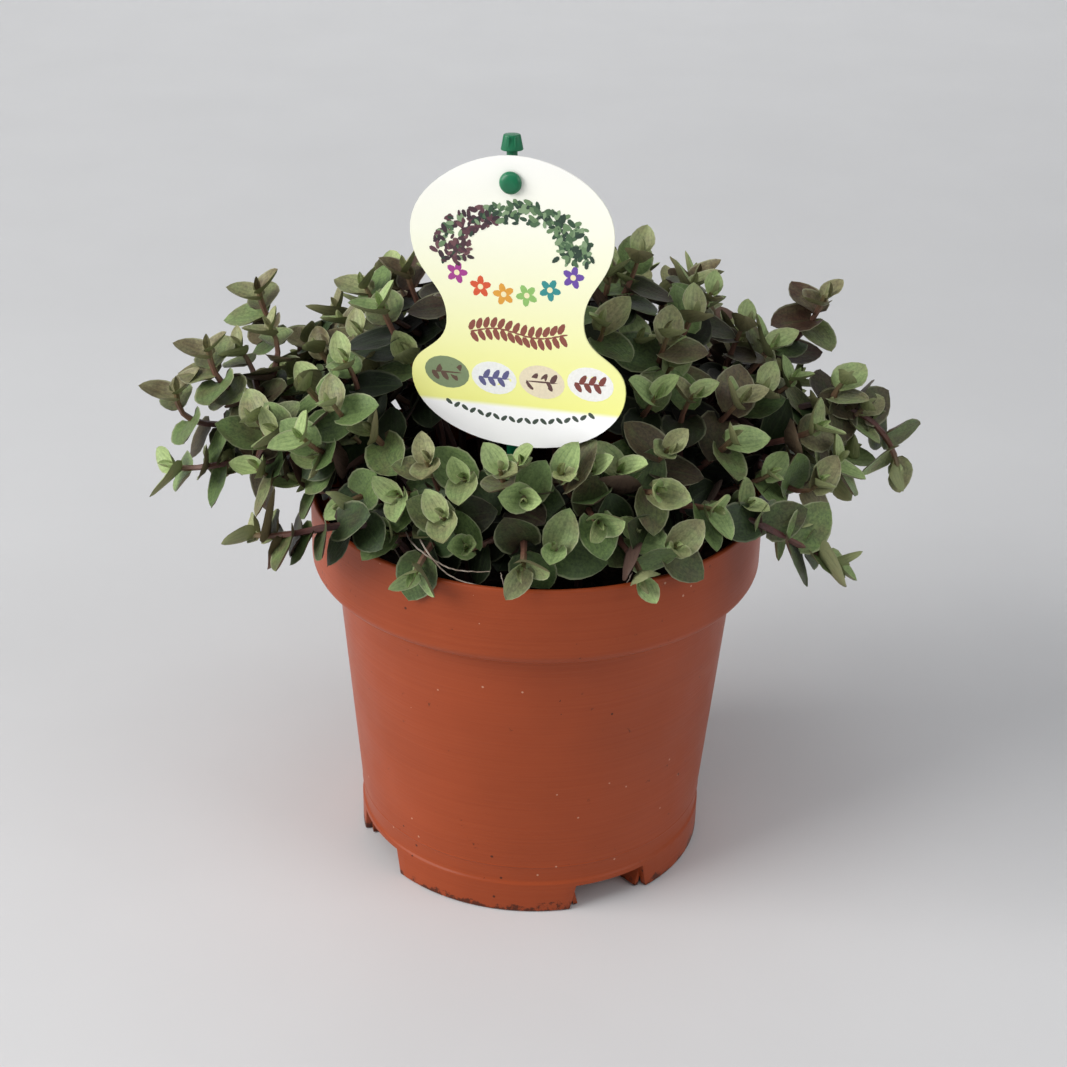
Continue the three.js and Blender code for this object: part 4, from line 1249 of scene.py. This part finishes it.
def blade_test(matrix, length):
    """A coarse leaf for the crossing test, and points that stand for it."""
    verts = [
        (0.16, 0, 0),
        (0.36, 0.36, 0.06),
        (0.36, -0.36, 0.06),
        (0.72, 0.22, -0.01),
        (0.72, -0.22, -0.01),
        (1, 0, -0.08),
        (0.5, 0, 0),
    ]
    points = [matrix @ (Vector(v) * length) for v in verts]
    faces = [(0, 2, 6), (0, 6, 1), (6, 2, 4), (6, 4, 5), (6, 5, 3), (6, 3, 1)]
    return BVHTree.FromPolygons(points, faces), points


class Vine:
    """One rooted vine as a growing bmesh."""

    def __init__(self, node):
        self.node = node
        self.bm = bmesh.new()
        self.blade = self.bm.verts.layers.float_color.new("blade")
        self.leaves = []

    def add_leaf(self, template, matrix, order, centre, tint):
        mesh = template.copy()
        mesh.transform(matrix)
        start = len(self.bm.verts)
        self.bm.from_mesh(mesh)
        bpy.data.meshes.remove(mesh)
        self.leaves.append((start, len(self.bm.verts), order, centre, tint))

    def age_and_shade_leaves(self, tips):
        """Writes each leaf's age, with painted shade added, and its tint to its points."""
        self.bm.verts.ensure_lookup_table()
        for start, end, order, centre, tint in self.leaves:
            age_and_shade = leaf_age_and_shade(order, centre, tips)
            for vert in self.bm.verts[start:end]:
                old = vert[self.blade]
                vert[self.blade] = (old[0], old[1], age_and_shade, tint)

    def add_stem(self, stem, thick, thin, swellings, old):
        """A stem that swells where leaves stand."""
        count = max(6, int(stem.length / STEM_PIECE))
        shares = [k / count for k in range(count + 1)]
        downs = [stem.length * (1 - share) for share in shares]
        radii = []
        for share, down in zip(shares, downs):
            swell = STEM_SWELL if any(abs(down - node) < 1 for node in swellings) else 1
            radii.append((thick + (thin - thick) * share**1.4) * swell)
        tube = bmesh.new()
        blade = tube.verts.layers.float_color.new("blade")
        rings = swept(tube, [stem.at(share) for share in shares], radii, STEM_SIDES)
        for ring, share, down in zip(rings, shares, downs):
            for vert in ring:
                vert[blade] = (0, share, min(1, old * min(1, down / 30) + 0.1), 0.5)
        for face in tube.faces:
            face.material_index = 2
        joined(self.bm, tube)


def limited(value):
    """A value kept from 0 to 1."""
    return min(1.0, max(0.0, value))


def leaf_age_and_shade(order, centre, tips):
    """A leaf's age down its stem, with painted shade added: leaves deep in the dome, away from any rosette,
    leaves on top and leaves low under its overhang are made darker as if shaded. The ones along a runner,
    beyond the rim, get no painted shade and stay young."""
    high = limited((centre.z - 135) / 15)
    # Partly age and partly painted shade: leaves far from the nearest rosette tip are made darker, and those
    # on top more so.
    deep_shade = (tips.find(centre)[2] - 5.5 + 1.6 * high) / 5
    # Painted shade: leaves below 124 mm, under the dome's overhang, are made darker.
    low = 0.6 * max(0.0, 124 - centre.z) / 40
    age_with_shade = max(LEAF_AGES[int(order)], deep_shade) + low
    reach = math.hypot(centre.x, centre.y)
    free = limited((reach - 58) / 12)
    return min(1.0, age_with_shade + (0.72 * LEAF_AGES[int(order)] - age_with_shade) * free)


def leaf_tint(point, index, order):
    """Leaves at the sides, at the back and on top are duskier than those in the middle of the front."""
    aside = limited((abs(point.x + 2) - 38) / 55) * (1 if point.x < 0 else 0.4)
    behind = limited((point.y + 25) / 70)
    high = limited((point.z - 135) / 25)
    mean = 0.22 + 0.2 * aside + 0.18 * behind + 0.2 * high + 0.2 * swing(index, 15)
    return limited(mean + 0.3 * swing(index * 10 + order, 9))


def grow_shoot(vine, garden, templates, stem, azimuth, index, orders, bends, scale=1.0, pull=(0, 0.25)):
    """Sets a shoot's leaves, each bent clear of what stands there."""
    full = bpy.context.scene.turtle_vine_plant.leaf_length / MM
    for order in orders:
        leaf = index * 10 + order
        known = bends.get(order)
        length = full * LEAF_SCALE[int(order)] * (1 + SPREAD["length"] * swing(leaf, 8)) * scale
        tries = [known] if known else BENDS
        best = None
        for bend in tries:
            share, rotation = leaf_turn(stem, azimuth, index, order, bend)
            rotation = toward_light(rotation, pull[0] if known else pull[1])
            base = stem.at(share)
            matrix = Matrix.Translation(base) @ rotation.to_4x4()
            blade, points = blade_test(matrix, length)
            if not known and garden.blocked(points[1:]):
                continue
            centre = points[-1]
            count = 0 if known else garden.crossings(blade, centre, index)
            if best is None or count < best[0]:
                best = (count, matrix, blade, centre, share)
            if count == 0:
                break
        if best is None or best[0] > (1 if order > 2 else 2):
            continue
        count, matrix, blade, centre, share = best
        if share <= 0.06:
            continue
        garden.add(blade, centre, index)
        family = templates["young" if order < 2 else "grown" if order < 4 else "old"]
        template = family[int(chance(leaf, 10) * len(family))]
        tint = leaf_tint(centre, index, order)
        vine.add_leaf(template, matrix @ Matrix.Scale(length, 4), order, centre, tint)


def grow_young(vine, templates, stem, azimuth, index, scale=1.0):
    """The rolled young leaves in the middle of a rosette."""
    full = bpy.context.scene.turtle_vine_plant.leaf_length / MM
    for k, (down, size, rise) in enumerate(YOUNG):
        share = 1 - down / stem.length
        _, rotation = leaf_turn(stem, azimuth, index, 0, (rise - LEAF_RISE[0], 90 + 180 * k), share)
        point = stem.at(share)
        matrix = Matrix.Translation(point) @ rotation.to_4x4() @ Matrix.Scale(full * size * scale, 4)
        vine.add_leaf(templates["bud"][k], matrix, 0, point, leaf_tint(point, index, k))


def at_front(shoot):
    """Whether a shoot belongs to one of the vines in front of the label."""
    return shoot["leaves"] == FRONT_LEAVES and "out" in shoot


def in_form(point):
    """Whether a point lies within the dome and doesn't hang low beside the pot."""
    out = math.hypot(point.x, point.y)
    up = max(0.0, point.z - DOME["centre"]) / DOME["height"]
    return (out / DOME["radius"]) ** 2 + up * up < 1.02 and (point.z > 114 or out < POT_RIM - 6)


def twig_start(stem):
    """How far up a stem its twigs leave it."""
    return max(TWIG["lowest"], 1 - TWIG["back"] / stem.length)


def grow_twig(vine, garden, templates, stem, end, out, index):
    """A side twig from a stem to a tip of its own, unless something is in its way."""
    share = twig_start(stem)
    start = stem.at(share)
    onward, lead = start + stem.along(share) * TWIG["start"], end - facing_of(out) * TWIG["lead"]
    twig = Stem([start, onward, lead, end], FORK["steps"])
    if garden.blocked([twig.at(s) for s in (0.3, 0.5, 0.7, 0.9)]):
        return False
    azimuth = azimuth_of(end)
    scale = 0.86 + 0.2 * chance(index, 14)
    vine.add_stem(twig, *TWIG["radii"], NODES_DOWN[2:6], 0.8)
    grow_shoot(vine, garden, templates, twig, azimuth, index, TWIG["leaves"], {}, scale)
    grow_young(vine, templates, twig, azimuth, index, scale)
    return True


def grow_twigs(vine, garden, templates, stem, shoot, tips):
    """Side twigs that end round a shoot's tip, where no other rosette is near."""
    tip = stem.at(1)
    out = shoot["out"]
    across = out.cross(Vector((0, 0, 1)))
    across = across.normalized() if across.length > 0.05 else Vector((1, 0, 0))
    over = across.cross(out).normalized()
    made = 0
    for k in range(TWIG["tries"]):
        number = shoot["index"] * 10 + k
        angle = 2 * math.pi * (k * 0.382 + chance(shoot["index"], 11))
        reach = TWIG["ring"][0] + (TWIG["ring"][1] - TWIG["ring"][0]) * chance(number, 12)
        end = tip + (across * math.cos(angle) + over * math.sin(angle)) * reach
        end -= out * TWIG["sunk"] * chance(number, 13)
        if min((end - other).length for other in tips) < TWIG["near"]:
            continue
        steps = [(0, 0, 0), (1, 0, 0), (-1, 0, 0), (0, 1, 0), (0, -1, 0)]
        if garden.blocked([end + Vector(step) * TWIG["clear"] for step in steps]) or not in_form(end):
            continue
        if grow_twig(vine, garden, templates, stem, end, out, FIRST_INDEX["twig"] + number):
            tips.append(end)
            made += 1
        if made == TWIG["most_in_front" if at_front(shoot) else "most"]:
            return


def runner_stems(path, nudge):
    return [turned_stem(path, nudge, STEM["steps"])]


def planned_vines(nodes):
    """Each vine of the frame: its node's name, its shoots, and what gives its stems for a nudge."""
    planned = []
    for name, root, shoots in [*front_vines(), *ring_vines()]:
        if name in nodes:
            planned.append((name, shoots, partial(vine_stems, root, shoots)))
    for i, (name, points, leaves) in enumerate(RUNNERS):
        if f"runner_{name}" in nodes:
            path = [Vector(p) for p in points]
            path[0].z = SOIL_TOP - STEM["bury"]
            shoot = dict(index=FIRST_INDEX["runner"] + i, azimuth=azimuth_of(points[3]), leaves=leaves)
            planned.append((f"runner_{name}", [shoot], partial(runner_stems, path)))
    return planned


def matched_vines(nodes):
    """Each vine as its solid has it: nudged round the pot until its leaves fall on the solid's."""
    vines = []
    for name, shoots, stems_at in planned_vines(nodes):
        solid = nodes[name].data
        faces = [p.vertices for p in solid.polygons]
        tree = BVHTree.FromPolygons([v.co for v in solid.vertices], faces)
        trials = []
        for nudge in NUDGES:
            stems = stems_at(nudge)
            bends = [solid_leaves(tree, stem, shoot) for stem, shoot in zip(stems, shoots)]
            miss = sum(min(found[0], 2) for shoot in bends for found in shoot)
            trials.append((miss, stems, bends))
            if miss < MATCH["vine"]:
                break
        _, stems, bends = min(trials, key=lambda trial: trial[0])
        vines.append((Vine(name), shoots, stems, bends))
    return vines


def matched_leaves(found):
    """The bends of those leaves of a shoot that the solids have."""
    return {k: bend for k, (miss, bend, _) in enumerate(found) if miss < MATCH["leaf"]}


def light_pull(shoot):
    return PULL["dome" if "out" in shoot else "runner"]


def grow_known(vines, garden, templates):
    """The stems, and the leaves that the solids have."""
    for vine, shoots, stems, bends in vines:
        for order, (shoot, stem, found) in enumerate(zip(shoots, stems, bends)):
            vine.add_stem(stem, *(FORK if order else STEM)["radii"], NODES_DOWN, 1.0)
            azimuth, index, kept = shoot["azimuth"], shoot["index"], matched_leaves(found)
            grow_shoot(
                vine, garden, templates, stem, azimuth, index, sorted(kept), kept, 1.0, light_pull(shoot)
            )
            grow_young(vine, templates, stem, azimuth, index)


def grow_more(vines, garden, templates, tips):
    """A twig to each of the added tips, from the stem that starts one nearest to it."""
    starts = [(vine, stem) for vine, _, stems, _ in vines for stem in stems]
    for i, tip in enumerate(MORE_TIPS):
        end = Vector(tip)
        if min((end - other).length for other in tips) < TWIG["crowded"]:
            continue
        up = max(end.z - DOME["centre"], 0) / DOME["height"]
        out = Vector((end.x / DOME["radius"], end.y / DOME["radius"], up)).normalized()
        behind = end - out * TWIG["behind"]
        vine, stem = min(starts, key=lambda pair: (pair[1].at(twig_start(pair[1])) - behind).length)
        if grow_twig(vine, garden, templates, stem, end, out, FIRST_INDEX["added_twig"] + 10 * i):
            tips.append(end)


def grow_rest(vines, garden, templates):
    """The leaves that the solids don't have, down each stem and, on a runner, between those too."""
    for vine, shoots, stems, bends in vines:
        for shoot, stem, found in zip(shoots, stems, bends):
            azimuth, index, kept = shoot["azimuth"], shoot["index"], matched_leaves(found)
            deepest = FRONT_LEAVES if at_front(shoot) else len(NODES_DOWN)
            rest = [k / 2 for k in range(4, 2 * deepest - 1) if k / 2 not in kept]
            runner = "out" not in shoot
            rest = [k for k in rest if k == int(k) or (runner and chance(index * 10 + k, 16) > 0.4)]
            grow_shoot(vine, garden, templates, stem, azimuth, index, rest, {}, 1.0, light_pull(shoot))


def build_foliage():
    """Every vine of the frame as one piece: its stems, twigs and leaves."""
    garden = Garden()
    templates = {
        family: [blade_mesh(f"{family}_{k}", *shape) for k, shape in enumerate(shapes)]
        for family, shapes in BLADES.items()
    }
    skins = [leaf_upper(), leaf_under(), stem_skin()]
    vines = matched_vines(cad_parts)
    grow_known(vines, garden, templates)
    tips = [stem.at(1) for _, _, stems, _ in vines for stem in stems]
    grow_more(vines, garden, templates, tips)
    for vine, shoots, stems, _ in vines:
        for shoot, stem in zip(shoots, stems):
            if "out" in shoot:
                grow_twigs(vine, garden, templates, stem, shoot, tips)
    grow_rest(vines, garden, templates)
    ends = KDTree(len(tips))
    for i, tip in enumerate(tips):
        ends.insert(tip, i)
    ends.balance()
    for vine, *_ in vines:
        vine.age_and_shade_leaves(ends)
        finish_piece(f"foliage_{vine.node}", vine.bm, skins, [vine.node], smooth_angle=55)
    for family in templates.values():
        for mesh in family:
            bpy.data.meshes.remove(mesh)


# Stage

# The paper sweep, its lamps and the camera, in metres from the pot's axis.
SWEEP = {"width": 6.4, "front": -2.6, "back": 2.1, "height": 3.2, "bend": 0.9, "below": 0.0001}
LAMPS = [
    ("key_softbox", (-1.45, -0.6, 0.93), (0.1, -0.3, 0.1), 1.2, 30.0, "#fffdfa"),
    ("top_softbox", (-0.2, -0.6, 1.9), (0, -0.3, 0), 1.2, 6.0, "#ffffff"),
    ("side_fill", (1.3, -0.6, 0.85), (0, 0, 0.1), 1.0, 5.5, "#ffffff"),
    ("backdrop_wash", (0, 0.95, 1.6), (0, 1.95, 1.25), 1.0, 14.0, "#fffefc"),
]
CAMERA = {"spot": (0, -0.5, 0.3513), "lens": 70.69, "pitch": 0.48184, "yaw": 0.0014, "roll": 0.02328}


def build_stage():
    """A pale paper sweep, a large soft key light from the left, weaker lamps on the rest, and the camera."""
    bm = bmesh.new()
    fold = [(SWEEP["front"], 0), (SWEEP["back"], 0), (SWEEP["back"], SWEEP["height"])]
    line = [bm.verts.new((-SWEEP["width"] / 2, y, z - SWEEP["below"])) for y, z in fold]
    edges = [bm.edges.new(pair) for pair in zip(line, line[1:])]
    made = bmesh.ops.extrude_edge_only(bm, edges=edges)
    moved = [v for v in made["geom"] if isinstance(v, bmesh.types.BMVert)]
    bmesh.ops.translate(bm, verts=moved, vec=(SWEEP["width"], 0, 0))
    bevelled(bm, [e for e in bm.edges if len(e.link_faces) == 2], SWEEP["bend"], 32)
    bmesh.ops.recalc_face_normals(bm, faces=bm.faces)
    mesh = bpy.data.meshes.new("paper_sweep")
    bm.to_mesh(mesh)
    bm.free()
    mesh.materials.append(sweep_paper())
    mesh.polygons.foreach_set("use_smooth", [True] * len(mesh.polygons))
    sweep = bpy.data.objects.new("paper_sweep", mesh)
    bpy.context.scene.collection.objects.link(sweep)

    world = bpy.data.worlds.new("studio")
    bpy.context.scene.world = world
    world.use_nodes = True
    background = world.node_tree.nodes["Background"]
    background.inputs["Color"].default_value = rgba("#e8e9eb")
    background.inputs["Strength"].default_value = 0.37

    for name, spot, aim, size, power, colour in LAMPS:
        lamp = bpy.data.lights.new(name, "AREA")
        lamp.shape = "SQUARE"
        lamp.size = size
        lamp.energy = power
        lamp.color = linear(colour)
        holder = bpy.data.objects.new(name, lamp)
        bpy.context.scene.collection.objects.link(holder)
        holder.location = AXIS + Vector(spot)
        holder.rotation_euler = (AXIS + Vector(aim) - holder.location).to_track_quat("-Z", "Y").to_euler()

    camera = bpy.data.cameras.new("camera")
    camera.sensor_width = 36
    camera.lens = CAMERA["lens"]
    camera.clip_start, camera.clip_end = 0.02, 20
    holder = bpy.data.objects.new("camera", camera)
    bpy.context.scene.collection.objects.link(holder)
    look = Matrix.Rotation(CAMERA["yaw"], 4, "Z") @ Matrix.Rotation(math.pi / 2 - CAMERA["pitch"], 4, "X")
    look = look @ Matrix.Rotation(CAMERA["roll"], 4, "Z")
    holder.matrix_world = Matrix.Translation(AXIS + Vector(CAMERA["spot"])) @ look
    bpy.context.scene.camera = holder
    bpy.context.scene.view_settings.view_transform = "Standard"


def through(points, steps):
    """A smooth line through points, with a number of steps from each to the next."""
    line = []
    for k in range(len(points) - 1):
        p0, p1 = points[max(k - 1, 0)], points[k]
        p2, p3 = points[k + 1], points[min(k + 2, len(points) - 1)]
        for step in range(steps):
            t = step / steps
            bend = 2 * p1 + (p2 - p0) * t + (2 * p0 - 5 * p1 + 4 * p2 - p3) * t**2
            line.append(0.5 * (bend + (3 * p1 - p0 - 3 * p2 + p3) * t**3))
    return [*line, points[-1]]


def build_rootlets():
    """Loose dry rootlets over the soil and rim at the front."""
    draw = random.Random(23)
    bm = bmesh.new()
    runs = [
        [(-32, -45, 113), (-28.5, -52, 112), (-22.3, -56, 110), (-17.5, -57, 109), (-11, -56.5, 108.6)],
        [(-29, -48, 114), (-25, -55.5, 111.5), (-20.5, -56.5, 107.3), (-15, -56.5, 105.2), (-9, -55, 103.4)],
        [(-35, -41, 106), (-31, -45, 101), (-27, -49, 97.2), (-19, -50.5, 96.2)],
        [(-7, -54, 99), (-7.4, -56.6, 104.3), (-8.3, -56.8, 108.6)],
        [(-6.4, -54, 99.5), (-6.9, -56.3, 102.8), (-5.4, -57, 107.6)],
        [(20, -49, 97), (22, -52.5, 103), (23.6, -53, 107.5)],
    ]
    for run in runs:
        width = draw.uniform(0.16, 0.24)
        path = through([Vector(point) for point in run], 6)
        path = [point + Vector([draw.uniform(-0.12, 0.12) for _ in range(3)]) for point in path]
        radii = [width * (1 - 0.5 * k / len(path)) for k in range(len(path))]
        swept(bm, path, radii, 5)
    finish_piece("rootlets", bm, [rootlet_skin()], smooth_angle=60)


# Settings, operators and panel


class PotSettings(bpy.types.PropertyGroup):
    sides: bpy.props.IntProperty(
        name="Sides", description="Steps round the pot", default=144, min=48, max=256
    )
    colour: bpy.props.FloatVectorProperty(
        name="Colour", description="Colour of the pot's plastic", default=linear("#9e4521"), subtype="COLOR"
    )


class SoilSettings(bpy.types.PropertyGroup):
    crumbs: bpy.props.IntProperty(name="Crumbs", description="Loose crumbs on the soil", default=900, min=0)


class StakeSettings(bpy.types.PropertyGroup):
    radius: bpy.props.FloatProperty(
        name="Radius",
        description="Radius of the stake's rod",
        default=0.0016,
        unit="LENGTH",
        subtype="DISTANCE",
    )
    colour: bpy.props.FloatVectorProperty(
        name="Colour", description="Colour of the stake's plastic", default=linear("#0f6d48"), subtype="COLOR"
    )


class PlantSettings(bpy.types.PropertyGroup):
    leaf_length: bpy.props.FloatProperty(
        name="Leaf length",
        description="Length of a grown leaf",
        default=0.0122,
        unit="LENGTH",
        subtype="DISTANCE",
    )
    leaf_width: bpy.props.FloatProperty(
        name="Leaf width",
        description="Width of a leaf as a share of its length",
        default=0.88,
        subtype="FACTOR",
    )
    leaf_thickness: bpy.props.FloatProperty(
        name="Leaf thickness",
        description="Thickness of a leaf",
        default=0.00036,
        unit="LENGTH",
        subtype="DISTANCE",
    )


class TURTLEVINE_OT_pot(bpy.types.Operator):
    """Builds the nursery pot"""

    bl_idname = "turtle_vine.pot"
    bl_label = "Pot"

    def execute(self, context):
        build_pot()
        return {"FINISHED"}


class TURTLEVINE_OT_soil(bpy.types.Operator):
    """Fills the pot with potting soil and scatters crumbs on it"""

    bl_idname = "turtle_vine.soil"
    bl_label = "Soil"

    def execute(self, context):
        build_soil()
        return {"FINISHED"}


class TURTLEVINE_OT_label(bpy.types.Operator):
    """Builds the card label and its printed pattern"""

    bl_idname = "turtle_vine.label"
    bl_label = "Label"

    def execute(self, context):
        build_label()
        build_print()
        return {"FINISHED"}


class TURTLEVINE_OT_stake(bpy.types.Operator):
    """Builds the stake that carries the label"""

    bl_idname = "turtle_vine.stake"
    bl_label = "Stake"

    def execute(self, context):
        build_stake()
        return {"FINISHED"}


class TURTLEVINE_OT_foliage(bpy.types.Operator):
    """Grows every vine's stems, twigs and leaves"""

    bl_idname = "turtle_vine.foliage"
    bl_label = "Foliage"

    def execute(self, context):
        build_foliage()
        return {"FINISHED"}


class TURTLEVINE_OT_rootlets(bpy.types.Operator):
    """Lays loose rootlets over the soil"""

    bl_idname = "turtle_vine.rootlets"
    bl_label = "Rootlets"

    def execute(self, context):
        build_rootlets()
        return {"FINISHED"}


class TURTLEVINE_OT_stage(bpy.types.Operator):
    """Sets the floor, the lights and the camera"""

    bl_idname = "turtle_vine.stage"
    bl_label = "Stage"

    def execute(self, context):
        build_stage()
        return {"FINISHED"}


OPERATORS = [
    TURTLEVINE_OT_pot,
    TURTLEVINE_OT_soil,
    TURTLEVINE_OT_label,
    TURTLEVINE_OT_stake,
    TURTLEVINE_OT_foliage,
    TURTLEVINE_OT_rootlets,
    TURTLEVINE_OT_stage,
]


class TURTLEVINE_PT_panel(bpy.types.Panel):
    """Lists the plant's pieces and settings"""

    bl_idname = "TURTLEVINE_PT_panel"
    bl_label = "Turtle vine"
    bl_space_type = "VIEW_3D"
    bl_region_type = "UI"
    bl_category = "Turtle vine"

    def draw(self, context):
        for name in SETTINGS:
            settings = getattr(context.scene, name)
            for key in settings.__annotations__:
                self.layout.prop(settings, key)
        for operator in OPERATORS:
            self.layout.operator(operator.bl_idname)


SETTINGS = {
    "turtle_vine_pot": PotSettings,
    "turtle_vine_soil": SoilSettings,
    "turtle_vine_stake": StakeSettings,
    "turtle_vine_plant": PlantSettings,
}


def register():
    for made in (*SETTINGS.values(), *OPERATORS, TURTLEVINE_PT_panel):
        bpy.utils.register_class(made)
    for name, group in SETTINGS.items():
        setattr(bpy.types.Scene, name, bpy.props.PointerProperty(type=group))


def unregister():
    for name in SETTINGS:
        delattr(bpy.types.Scene, name)
    for made in (TURTLEVINE_PT_panel, *OPERATORS[::-1], *SETTINGS.values()):
        bpy.utils.unregister_class(made)


def main():
    register()
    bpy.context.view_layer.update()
    for operator in OPERATORS:
        family, name = operator.bl_idname.split(".")
        getattr(getattr(bpy.ops, family), name)()


if __name__ == "__main__":
    main()
